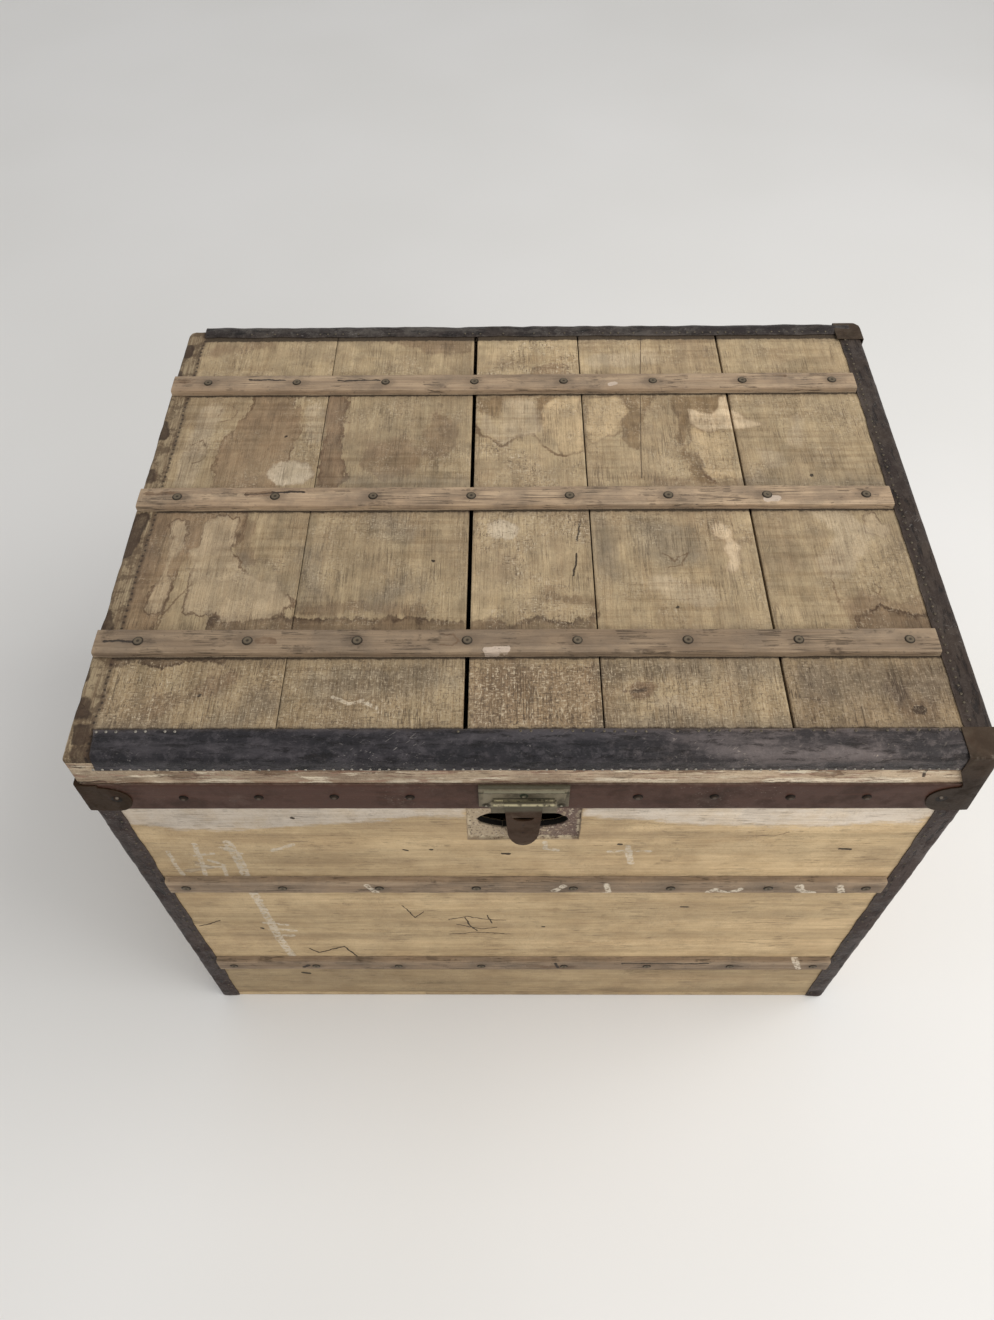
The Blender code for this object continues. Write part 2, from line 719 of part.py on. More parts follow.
def corner_cap(name, sx, sy, covers_top):
    """A pressed cap over one corner of the lid: its band, and on some corners the top as well."""
    outer_x = TRUNK_WIDTH / 2
    outer_y = TRUNK_DEPTH / 2
    skin = FIT + CAP
    start_x = outer_x - CAP_TONGUE - CAP
    start_y = outer_y - CAP_TONGUE - CAP
    top = TRUNK_HEIGHT + skin if covers_top else BAND_TOP
    over = TRUNK_HEIGHT + OVERRUN * 2

    def vertical_corner(a, b):
        return (
            abs(a.x) > outer_x and abs(a.y) > outer_y and near(a.x, b.x) and near(a.y, b.y)
        )

    def top_edge(a, b):
        outside = all(abs(p.x) > outer_x or abs(p.y) > outer_y for p in (a, b, (a + b) / 2))
        return outside and near(a.z, b.z) and a.z > TRUNK_HEIGHT and covers_top

    inner_corner = (sx * start_x, sy * start_y, LID_FOOT)
    outer_corner = (sx * (outer_x + skin), sy * (outer_y + skin), top)
    made = box(name, inner_corner, outer_corner, TRUNK)
    round_edges(made, CORNER_RADIUS + BINDING + FIT + skin, ROUND_STEPS, vertical_corner)
    round_edges(made, EDGE_RADIUS + BINDING + FIT + skin, ROUND_STEPS, top_edge)
    hollow_top = TRUNK_HEIGHT + FIT if covers_top else over
    hollow = box(
        name + "_hollow",
        (sx * (start_x - OVERRUN), sy * (start_y - OVERRUN), LID_FOOT - OVERRUN),
        (sx * (outer_x + FIT), sy * (outer_y + FIT), hollow_top),
        CUTTERS,
    )
    round_edges(hollow, CORNER_RADIUS + BINDING + FIT * 2, ROUND_STEPS, vertical_corner)
    round_edges(hollow, EDGE_RADIUS + BINDING + FIT * 2, ROUND_STEPS, top_edge)
    # The front and the side are trimmed to a strip that ends in a tongue along the band.
    front = [(sx * u, z) for u, z in cap_outline(outer_x, over)]
    side = [(sy * u, z) for u, z in cap_outline(outer_y, over)]
    low_y, high_y = sorted((sy * (start_y - OVERRUN), sy * (outer_y + OVERRUN)))
    low_x, high_x = sorted((sx * (start_x - OVERRUN), sx * (outer_x + OVERRUN)))
    front_trim = plate(name + "_front_trim", front, "Y", low_y, high_y, CUTTERS)
    side_trim = plate(name + "_side_trim", side, "X", low_x, high_x, CUTTERS)
    cut(made, hollow, front_trim, side_trim)
    height = LID_FOOT + BAND_HEIGHT / 2
    front_rivet = (sx * (outer_x - CAP_RIVET_INSET), sy * (outer_y + skin), height)
    side_rivet = (sx * (outer_x + skin), sy * (outer_y - CAP_RIVET_INSET), height)
    fuse(
        made,
        rivet_heads(name + "_front_rivet", [front_rivet], "Y", sy),
        rivet_heads(name + "_side_rivet", [side_rivet], "X", sx),
    )
    finish(made, "dark_iron")


def make_corner_caps():
    corner_cap("corner_cap_front_right", 1, -1, True)
    corner_cap("corner_cap_back_right", 1, 1, True)
    corner_cap("corner_cap_front_left", -1, -1, False)
    corner_cap("corner_cap_back_left", -1, 1, False)


def make_hasp():
    plate_back = -TRUNK_DEPTH / 2 - FIT
    top = LID_FOOT + HASP_TOP
    notch = LID_FOOT + HASP_NOTCH
    foot = LID_FOOT - HASP_FOOT
    right_notch = arc(
        (HASP_FOOT_HALF_WIDTH + HASP_NOTCH_RADIUS, notch - HASP_NOTCH_RADIUS),
        HASP_NOTCH_RADIUS,
        HASP_NOTCH_RADIUS,
        90,
        180,
        ROUND_STEPS,
    )
    side = [(HASP_HALF_WIDTH, top), (HASP_HALF_WIDTH, notch + HASP_NOTCH_SLOPE)]
    half = side + right_notch + [(HASP_FOOT_HALF_WIDTH, foot)]
    outline = [(HASP_X + u, z) for u, z in half] + [(HASP_X - u, z) for u, z in reversed(half)]
    made = plate("hasp_plate", outline, "Y", HASP_FACE, plate_back, TRUNK)
    bead_half = HASP_HALF_WIDTH - HASP_BEAD_INSET
    bead = box(
        "hasp_bead",
        (HASP_X - bead_half, HASP_FACE - HASP_BEAD_RISE, top - HASP_BEAD_DROP - HASP_BEAD_HEIGHT),
        (HASP_X + bead_half, HASP_FACE + HASP_PLATE / 3, top - HASP_BEAD_DROP),
        CUTTERS,
    )
    centre = (HASP_AXIS_Y, HASP_AXIS_Z)
    inner = TONGUE_HALF_WIDTH + FIT
    outer = inner + KNUCKLE_EAR
    ears = []
    for name, sign in (("left", -1), ("right", 1)):
        low, high = sorted((HASP_X + sign * inner, HASP_X + sign * outer))
        ear = cylinder(
            f"hasp_ear_{name}", KNUCKLE_RADIUS, "X", low, high, centre, BARREL_SIDES, CUTTERS
        )
        root = box(
            f"hasp_ear_root_{name}",
            (low + WEB_INSET, HASP_AXIS_Y, HASP_AXIS_Z - KNUCKLE_RADIUS * 0.7),
            (high - WEB_INSET, HASP_FACE + HASP_PLATE / 3, HASP_AXIS_Z + KNUCKLE_RADIUS * 0.7),
            CUTTERS,
        )
        ears += [ear, root]
    bore = cylinder(
        "hasp_bore",
        HASP_PIN_RADIUS + BORE_GAP,
        "X",
        HASP_X - outer - OVERRUN,
        HASP_X + outer + OVERRUN,
        centre,
        BARREL_SIDES,
        CUTTERS,
    )
    rivet_x = HASP_HALF_WIDTH - HASP_RIVET_INSET
    rivets = [(HASP_X + sign * rivet_x, HASP_FACE, LID_FOOT + HASP_RIVET_RISE) for sign in (-1, 1)]
    screw = [(HASP_X, HASP_FACE, HASP_AXIS_Z + HASP_SCREW_RISE)]
    fuse(made, bead, *ears)
    cut(made, bore)
    fuse(
        made,
        rivet_heads("hasp_plate_rivets", rivets, "Y", -1),
        rivet_heads("hasp_plate_screw", screw, "Y", -1),
    )
    finish(made, "old_brass")

    reach = outer + FIT + HASP_PIN_HEAD / 2
    pin = cylinder(
        "hasp_pin", HASP_PIN_RADIUS, "X", HASP_X - reach, HASP_X + reach, centre, BARREL_SIDES, TRUNK
    )
    for name, sign in (("left", -1), ("right", 1)):
        ends = sorted((HASP_X + sign * (outer + FIT), HASP_X + sign * (outer + FIT + HASP_PIN_HEAD)))
        head = cylinder(
            f"hasp_pin_head_{name}", KNUCKLE_RADIUS, "X", *ends, centre, BARREL_SIDES, CUTTERS
        )
        fuse(pin, head)
    finish(pin, "old_brass")
    make_tongue(centre)


def make_tongue(centre):
    """The hasp's tongue, with its knuckle, its tapering nose and its slot."""
    neck = HASP_AXIS_Z - TONGUE_NECK
    start = (TONGUE_HALF_WIDTH - WEB_INSET, HASP_AXIS_Z - KNUCKLE_RADIUS / 3)
    nose = arc((0, neck), TONGUE_NECK_HALF_WIDTH, TONGUE_NOSE, 0, -180, TONGUE_NOSE_STEPS)
    outline = [start] + nose + [(-start[0], start[1])]
    back = HASP_FACE - FIT
    made = plate(
        "hasp_tongue", [(HASP_X + u, z) for u, z in outline], "Y", back - TONGUE, back, TRUNK
    )
    knuckle = cylinder(
        "tongue_knuckle",
        KNUCKLE_RADIUS,
        "X",
        HASP_X - TONGUE_HALF_WIDTH,
        HASP_X + TONGUE_HALF_WIDTH,
        centre,
        BARREL_SIDES,
        CUTTERS,
    )
    bore = cylinder(
        "tongue_bore",
        HASP_PIN_RADIUS + BORE_GAP,
        "X",
        HASP_X - TONGUE_HALF_WIDTH - OVERRUN,
        HASP_X + TONGUE_HALF_WIDTH + OVERRUN,
        centre,
        BARREL_SIDES,
        CUTTERS,
    )
    slot_top = (HASP_X, HASP_AXIS_Z - TONGUE_SLOT_DROP)
    crescent = arc(slot_top, TONGUE_SLOT_HALF_WIDTH, TONGUE_SLOT_DEPTH, 0, -180, TONGUE_SLOT_STEPS)
    slot = plate("tongue_slot", crescent, "Y", back - TONGUE - OVERRUN, back + OVERRUN, CUTTERS)
    fuse(made, knuckle)
    cut(made, bore, slot)
    finish(made, "dark_iron")


def leaf(name, x, foot, top, inner, home):
    """One hinge leaf, a rounded plate on the trunk's back."""
    half = HINGE_WIDTH / 2
    outline = rounded_rectangle((x - half, foot), (x + half, top), LEAF_CORNER, ROUND_STEPS)
    return plate(name, outline, "Y", inner, inner + HINGE_LEAF, home)


def make_hinge(side, sign):
    """A lid hinge: the lower leaf holds the outer knuckles, the upper leaf the middle one."""
    x = sign * HINGE_SPACING / 2
    centre = (HINGE_Y, HINGE_Z)
    half = HINGE_WIDTH / 2
    split = half - HINGE_OUTER_KNUCKLE
    clear = HINGE_BARREL_RADIUS + FIT * 2
    bore = cylinder(
        f"hinge_bore_{side}",
        HINGE_PIN_RADIUS + BORE_GAP,
        "X",
        x - half - OVERRUN,
        x + half + OVERRUN,
        centre,
        BARREL_SIDES,
        CUTTERS,
    )

    lower_top = HINGE_Z - clear
    lower = leaf(
        f"hinge_leaf_lower_{side}", x, lower_top - LOWER_LEAF_LENGTH, lower_top, CASE_Y + FIT, TRUNK
    )
    for end, way in (("outer", 1), ("inner", -1)):
        low, high = sorted((x + way * split, x + way * half))
        knuckle = cylinder(
            f"lower_knuckle_{side}_{end}", HINGE_BARREL_RADIUS, "X", low, high, centre,
            BARREL_SIDES, CUTTERS,
        )
        web = box(
            f"lower_web_{side}_{end}",
            (low + WEB_INSET, CASE_Y + FIT * 2, HINGE_Z - clear - HINGE_WEB),
            (high - WEB_INSET, HINGE_Y, HINGE_Z - HINGE_BARREL_RADIUS + HINGE_WEB / 2),
            CUTTERS,
        )
        fuse(lower, web, knuckle)
    cut(lower, bore)
    nail_y = CASE_Y + FIT + HINGE_LEAF
    rows = [(x - half / 2, 0.75), (x + half / 2, 0.75), (x, 0.25)]
    nails = [(px, nail_y, lower_top - LOWER_LEAF_LENGTH * share) for px, share in rows]
    fuse(lower, rivet_heads(f"hinge_nails_lower_{side}", nails, "Y", 1))
    finish(lower, "dark_iron")

    inner = TRUNK_DEPTH / 2 + FIT
    upper_foot = HINGE_Z + clear
    upper = leaf(
        f"hinge_leaf_upper_{side}", x, upper_foot, upper_foot + UPPER_LEAF_LENGTH - clear, inner, TRUNK
    )
    low, high = x - split + FIT, x + split - FIT
    knuckle = cylinder(
        f"upper_knuckle_{side}", HINGE_BARREL_RADIUS, "X", low, high, centre, BARREL_SIDES, CUTTERS
    )
    web = box(
        f"upper_web_{side}",
        (low + WEB_INSET, inner + FIT, HINGE_Z),
        (high - WEB_INSET, inner + HINGE_LEAF - FIT, upper_foot + LEAF_CORNER),
        CUTTERS,
    )
    # The stop points back, and meets the lower leaf when the lid is open.
    stop = box(
        f"hinge_stop_{side}",
        (low, -STOP_THICKNESS / 2, 0),
        (high, STOP_THICKNESS / 2, STOP_LENGTH),
        CUTTERS,
    )
    rest_angle = math.radians(STOP_DEGREES + LID_OPEN_DEGREES)
    stop.matrix_world = (
        Matrix.Translation((0, HINGE_Y, HINGE_Z))
        @ Matrix.Rotation(rest_angle, 4, "X")
        @ Matrix.Translation(((low + high) / 2, 0, STOP_LENGTH / 2))
    )
    fuse(upper, web, knuckle, stop)
    cut(upper, bore)
    nail_y = inner + HINGE_LEAF
    middle = upper_foot + (UPPER_LEAF_LENGTH - clear) * 0.6
    nails = [(x - half / 2, nail_y, middle), (x + half / 2, nail_y, middle)]
    fuse(upper, rivet_heads(f"hinge_nails_upper_{side}", nails, "Y", 1))
    finish(upper, "dark_iron")

    reach = half + FIT + HINGE_PIN_HEAD / 2
    pin = cylinder(
        f"hinge_pin_{side}", HINGE_PIN_RADIUS, "X", x - reach, x + reach, centre, BARREL_SIDES, TRUNK
    )
    for end, way in (("outer", 1), ("inner", -1)):
        ends = sorted((x + way * (half + FIT), x + way * (half + FIT + HINGE_PIN_HEAD)))
        head = cylinder(
            f"hinge_pin_head_{side}_{end}", HINGE_PIN_HEAD_RADIUS, "X", *ends, centre,
            BARREL_SIDES, CUTTERS,
        )
        fuse(pin, head)
    finish(pin, "dark_iron")


def fillet(points, radii, steps):
    """A path through the points with each inner corner rounded to its radius."""
    path = [Vector(points[0])]
    for before, corner, after, radius in zip(points, points[1:], points[2:], radii):
        corner = Vector(corner)
        back = (Vector(before) - corner).normalized()
        on = (Vector(after) - corner).normalized()
        centre = corner + (back + on) * radius
        for i in range(steps + 1):
            turn = math.radians(90) * i / steps
            path.append(centre - on * radius * math.cos(turn) - back * radius * math.sin(turn))
    path.append(Vector(points[-1]))
    return path


def make_handle(side, sign):
    """A side handle: a plate with two lugs, and a rod that swings in them."""
    half_plate = HANDLE_PLATE_WIDTH / 2
    half_height = HANDLE_PLATE_HEIGHT / 2
    outline = rounded_rectangle(
        (-half_plate, HANDLE_HEIGHT - half_height),
        (half_plate, HANDLE_HEIGHT + half_height),
        LEAF_CORNER,
        ROUND_STEPS,
    )
    back, face = sorted((sign * (CASE_X + FIT), sign * HANDLE_FACE))
    made = plate(f"handle_plate_{side}", outline, "X", back, face, TRUNK)
    axis_x = sign * HANDLE_AXIS_X
    lug_start = HANDLE_WIDTH / 2 + HANDLE_PIN_BEND + FIT
    lug_end = lug_start + LUG_WIDTH
    centre = (axis_x, HANDLE_HEIGHT)
    for end, way in (("front", -1), ("back", 1)):
        low, high = sorted((way * lug_start, way * lug_end))
        lug = cylinder(
            f"handle_lug_{side}_{end}", LUG_RADIUS, "Y", low, high, centre, BARREL_SIDES, CUTTERS
        )
        root = box(
            f"handle_lug_root_{side}_{end}",
            (sign * (CASE_X + FIT + HANDLE_PLATE / 2), low + WEB_INSET, HANDLE_HEIGHT - LUG_WEB / 2),
            (axis_x, high - WEB_INSET, HANDLE_HEIGHT + LUG_WEB / 2),
            CUTTERS,
        )
        fuse(made, root, lug)
    bore = cylinder(
        f"handle_bore_{side}", HANDLE_ROD_RADIUS + BORE_GAP, "Y", -lug_end - OVERRUN,
        lug_end + OVERRUN, centre, BARREL_SIDES, CUTTERS,
    )
    cut(made, bore)
    nail_y = half_plate - HANDLE_NAIL_INSET
    nail_z = half_height - HANDLE_NAIL_INSET
    nails = [
        (sign * HANDLE_FACE, way * nail_y, HANDLE_HEIGHT + up * nail_z)
        for way in (-1, 1)
        for up in (-1, 1)
    ]
    fuse(made, rivet_heads(f"handle_nails_{side}", nails, "X", sign))
    finish(made, "dark_iron")

    half = HANDLE_WIDTH / 2
    tip = lug_end + HANDLE_PIN_OVERHANG
    corners = [
        (axis_x, -tip, HANDLE_HEIGHT),
        (axis_x, -half, HANDLE_HEIGHT),
        (axis_x, -half, HANDLE_HEIGHT - HANDLE_DROP),
        (axis_x, half, HANDLE_HEIGHT - HANDLE_DROP),
        (axis_x, half, HANDLE_HEIGHT),
        (axis_x, tip, HANDLE_HEIGHT),
    ]
    radii = (HANDLE_PIN_BEND, HANDLE_GRIP_BEND, HANDLE_GRIP_BEND, HANDLE_PIN_BEND)
    path = fillet(corners, radii, HANDLE_BEND_STEPS)
    pivot = Vector((axis_x, 0, HANDLE_HEIGHT))
    drawn = bpy.data.curves.new(f"handle_{side}", "CURVE")
    drawn.dimensions = "3D"
    drawn.bevel_depth = HANDLE_ROD_RADIUS
    drawn.bevel_resolution = 2
    drawn.use_fill_caps = True
    spline = drawn.splines.new("POLY")
    spline.points.add(len(path) - 1)
    for point, place in zip(spline.points, path):
        point.co = (*(place - pivot), 1)
    rod = add_object(f"handle_{side}", drawn, TRUNK)
    rod.location = pivot
    finish(rod, "dark_iron")


def pivot_empty(name, place, members):
    """An empty on a joint's axis that carries the pieces that turn about it."""
    empty = add_object(name, None, TRUNK)
    empty.location = place
    bpy.context.view_layer.update()
    for member in members:
        member.parent = empty
        member.matrix_parent_inverse = empty.matrix_world.inverted()
    return empty


def hang_moving_pieces():
    objects = bpy.data.objects
    lid_starts = ("lid_", "corner_cap_", "hinge_leaf_upper_", "hasp_plate", "hasp_pin")
    own = [obj for obj in TRUNK.objects if obj.name.startswith(lid_starts)]
    lid = pivot_empty("lid_axis", (0, HINGE_Y, HINGE_Z), own)
    hasp = pivot_empty("hasp_axis", (HASP_X, HASP_AXIS_Y, HASP_AXIS_Z), [objects["hasp_tongue"]])
    hasp.parent = lid
    hasp.matrix_parent_inverse = lid.matrix_world.inverted()
    for side, sign in (("left", -1), ("right", 1)):
        place = (sign * HANDLE_AXIS_X, 0, HANDLE_HEIGHT)
        pivot_empty(f"handle_axis_{side}", place, [objects[f"handle_{side}"]])


clear_scene()
TRUNK = collection("travel_trunk")
CUTTERS = collection("travel_trunk_cutters")
make_bottom()
make_case_boards()
make_case_slats()
make_corner_bindings()
make_inner_rim()
make_lid_boards()
make_lid_slats()
make_lid_bindings()
make_lid_band()
make_corner_caps()
make_hasp()
for hinge_side, hinge_sign in (("left", -1), ("right", 1)):
    make_hinge(hinge_side, hinge_sign)
    make_handle(hinge_side, hinge_sign)
hang_moving_pieces()
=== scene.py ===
"""Looks of an old travel trunk: stained poplar boards, nailed slats, worn bindings and iron fittings.

Metres, +Z up, the front faces -Y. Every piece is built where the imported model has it.
"""

import math
import random

import bmesh
import bpy
import numpy as np
from mathutils import Matrix, Vector, noise


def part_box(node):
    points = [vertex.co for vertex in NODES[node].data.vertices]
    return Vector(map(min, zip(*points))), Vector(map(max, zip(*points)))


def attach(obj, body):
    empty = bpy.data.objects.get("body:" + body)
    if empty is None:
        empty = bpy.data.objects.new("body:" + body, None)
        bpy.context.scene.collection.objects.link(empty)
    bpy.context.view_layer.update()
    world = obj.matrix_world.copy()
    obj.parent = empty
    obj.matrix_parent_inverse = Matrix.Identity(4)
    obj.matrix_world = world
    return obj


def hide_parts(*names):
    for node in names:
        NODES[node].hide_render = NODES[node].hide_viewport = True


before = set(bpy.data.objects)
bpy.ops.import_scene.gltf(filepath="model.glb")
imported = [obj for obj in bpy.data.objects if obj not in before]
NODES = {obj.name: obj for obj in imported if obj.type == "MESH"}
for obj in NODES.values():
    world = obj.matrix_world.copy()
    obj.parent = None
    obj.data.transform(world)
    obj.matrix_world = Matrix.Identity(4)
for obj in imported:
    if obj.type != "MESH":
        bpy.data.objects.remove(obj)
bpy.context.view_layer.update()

# Sizes of the trunk that the pieces share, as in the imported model
HALF_WIDTH = 0.400
HALF_DEPTH = 0.300
TOP = 0.612
FIT = 0.0003
BINDING = 0.0018
LID_FOOT = 0.522
BAND_TOP = 0.567
LID_WOOD_X = 0.3979
LID_WOOD_Y = 0.2979
LID_WOOD_TOP = 0.6099
CASE_X = 0.3967
CASE_Y = 0.2967
CASE_TOP = 0.5217
WOOD_EDGE = 0.005
LID_CORNER = 0.008
BARE_CORNER = 0.002
SLAT_WIDTH = 0.028
SLAT_THICKNESS = 0.007
LID_SLATS = {"front": -0.1785, "middle": 0.0078, "back": 0.1899}
CASE_SLATS = {"lower": 0.1275, "upper": 0.357}
HASP_X = -0.003
BAND_RIVET_PITCH = 0.068
CAP_X = 0.4013
CAP_Y = 0.3013
CAP_CORNER = 0.0114
CAP_SHARP_CORNER = 0.0035
CAP_RIVET_INSET = 0.031
BAND_MIDDLE = (LID_FOOT + BAND_TOP) / 2
BINDING_DROP = 0.022
PLANK_FOOT = 0.6009
FRONT_BOARD_DEPTH = 0.011

# The hasp's plate: its bead, painted as a highlight, with a darker band above it and painted shade below, its
# screw and its rivets
BEAD = (0.5578, 0.5612)
ABOVE_BEAD = (0.5625, 0.5690)
BELOW_BEAD = (0.5545, 0.5572)
SCREW_HEIGHT = 0.5505
PLATE_RIVET_HEIGHT = 0.5335
PLATE_RIVET_X = 0.034

# The lock's oval hole and the dented place round it, as (x, z)
LOCK_CENTRE = (-0.0035, 0.490)
LOCK_HALF = (0.04325, 0.018)
RECESS_LOW = (-0.0558, 0.4547)
RECESS_HIGH_X = 0.0508

# Wear: the chipped edge at a joint, the strip without its binding, and its row of tack holes
JOINT_EDGE = 0.0018
BARE_STRIP_X = -0.372
TACK_LINE_X = -0.3765
TACK_HOLE_PITCH = 0.007
# Where the dirtier strip in front of the lid's foremost slat fades in, as y
FRONT_ROW = (-0.185, -0.205)

# How finely the boards' faces and the lid's bindings are cut
GRID_PITCH = 0.004
FINE_PITCH = 0.002


# Nodes

class Tree:
    """One node tree, with short ways to add nodes to it and join them."""

    def __init__(self, tree):
        self.tree = tree

    def join(self, socket, value):
        if isinstance(value, bpy.types.NodeSocket):
            self.tree.links.new(value, socket)
        elif socket.type == "RGBA":
            socket.default_value = (*value, 1)
        else:
            socket.default_value = value

    def add(self, kind, inputs=(), **settings):
        node = self.tree.nodes.new(kind)
        for name, value in settings.items():
            setattr(node, name, value)
        pairs = inputs.items() if isinstance(inputs, dict) else enumerate(inputs)
        for key, value in pairs:
            self.join(node.inputs[key], value)
        return node

    def math(self, operation, *values, clamp=False):
        return self.add("ShaderNodeMath", values, operation=operation, use_clamp=clamp).outputs[0]

    def times(self, product, *factors, clamp=False):
        for factor in factors[:-1]:
            product = self.math("MULTIPLY", product, factor)
        return self.math("MULTIPLY", product, factors[-1], clamp=clamp)

    def plus(self, first, second, clamp=False):
        return self.math("ADD", first, second, clamp=clamp)

    def minus(self, first, second, clamp=False):
        return self.math("SUBTRACT", first, second, clamp=clamp)

    def linear(self, value, factor, shift):
        return self.math("MULTIPLY_ADD", value, factor, shift)

    def apart(self, first, second):
        """How far two values lie apart."""
        return self.math("ABSOLUTE", self.minus(first, second))

    def vector(self, operation, *values):
        node = self.add("ShaderNodeVectorMath", values, operation=operation)
        return node.outputs["Value" if operation in ("DOT_PRODUCT", "LENGTH") else "Vector"]

    def scale(self, vector, factor):
        inputs = {0: vector, "Scale": factor}
        return self.add("ShaderNodeVectorMath", inputs, operation="SCALE").outputs["Vector"]

    def mix(self, factor, low, high, blend="MIX"):
        inputs = {0: factor, 6: low, 7: high}
        return self.add("ShaderNodeMix", inputs, data_type="RGBA", blend_type=blend).outputs[2]

    def lay(self, colour, tone, mask, share, blend="MIX", clamp=False):
        """A tone over a colour where the mask is, at a share of its strength."""
        return self.mix(self.times(mask, share, clamp=clamp), colour, tone, blend)

    def step(self, value, low, high, to_low=0.0, to_high=1.0):
        """Smooth step of a value between two limits."""
        inputs = (value, low, high, to_low, to_high)
        return self.add("ShaderNodeMapRange", inputs, interpolation_type="SMOOTHSTEP").outputs[0]

    def noise(self, vector, scale, detail, roughness, colour=False):
        """Noise, stretched along the axes where three scales are given."""
        if isinstance(scale, tuple):
            vector, scale = self.vector("MULTIPLY", vector, scale), 1.0
        inputs = {"Vector": vector, "Scale": scale, "Detail": detail, "Roughness": roughness}
        return self.add("ShaderNodeTexNoise", inputs).outputs[1 if colour else 0]

    def patches(self, vector, scale, detail, roughness, low, high):
        """Patches of noise: nothing below the low limit, one above the high one."""
        return self.step(self.noise(vector, scale, detail, roughness), low, high)

    def jitter(self, vector, scale, detail, roughness, reach):
        """Noise from minus the reach to plus the reach."""
        return self.linear(self.noise(vector, scale, detail, roughness), 2 * reach, -reach)

    def parts(self, vector):
        return self.add("ShaderNodeSeparateXYZ", (vector,)).outputs

    def joined(self, x, y, z):
        return self.add("ShaderNodeCombineXYZ", (x, y, z)).outputs[0]

    def stored(self, name):
        """The value that the mesh stores under a name."""
        return self.add("ShaderNodeAttribute", attribute_name=name).outputs["Fac"]

    def effect(self, name, inputs):
        group = self.tree.nodes.new("ShaderNodeGroup")
        group.node_tree = bpy.data.node_groups[name]
        for title, value in inputs.items():
            self.join(group.inputs[title], value)
        return group.outputs

    def edge_wear(self, place):
        """Where the mesh has a raised edge that is rubbed bare."""
        ridge = self.add("ShaderNodeNewGeometry").outputs["Pointiness"]
        return self.effect("rubbed_edge", {"Vector": place, "Ridge": ridge})["Wear"]


def new_effect(name, inputs, outputs):
    """A node group with named inputs and outputs, to be wired and then placed in materials."""
    group = bpy.data.node_groups.new(name, "ShaderNodeTree")
    for title, kind, value in inputs:
        socket = group.interface.new_socket(title, in_out="INPUT", socket_type=f"NodeSocket{kind}")
        socket.default_value = value
    for title in outputs:
        group.interface.new_socket(title, in_out="OUTPUT", socket_type="NodeSocketFloat")
    entry = group.nodes.new("NodeGroupInput").outputs
    leave = group.nodes.new("NodeGroupOutput").inputs
    return Tree(group), entry, leave


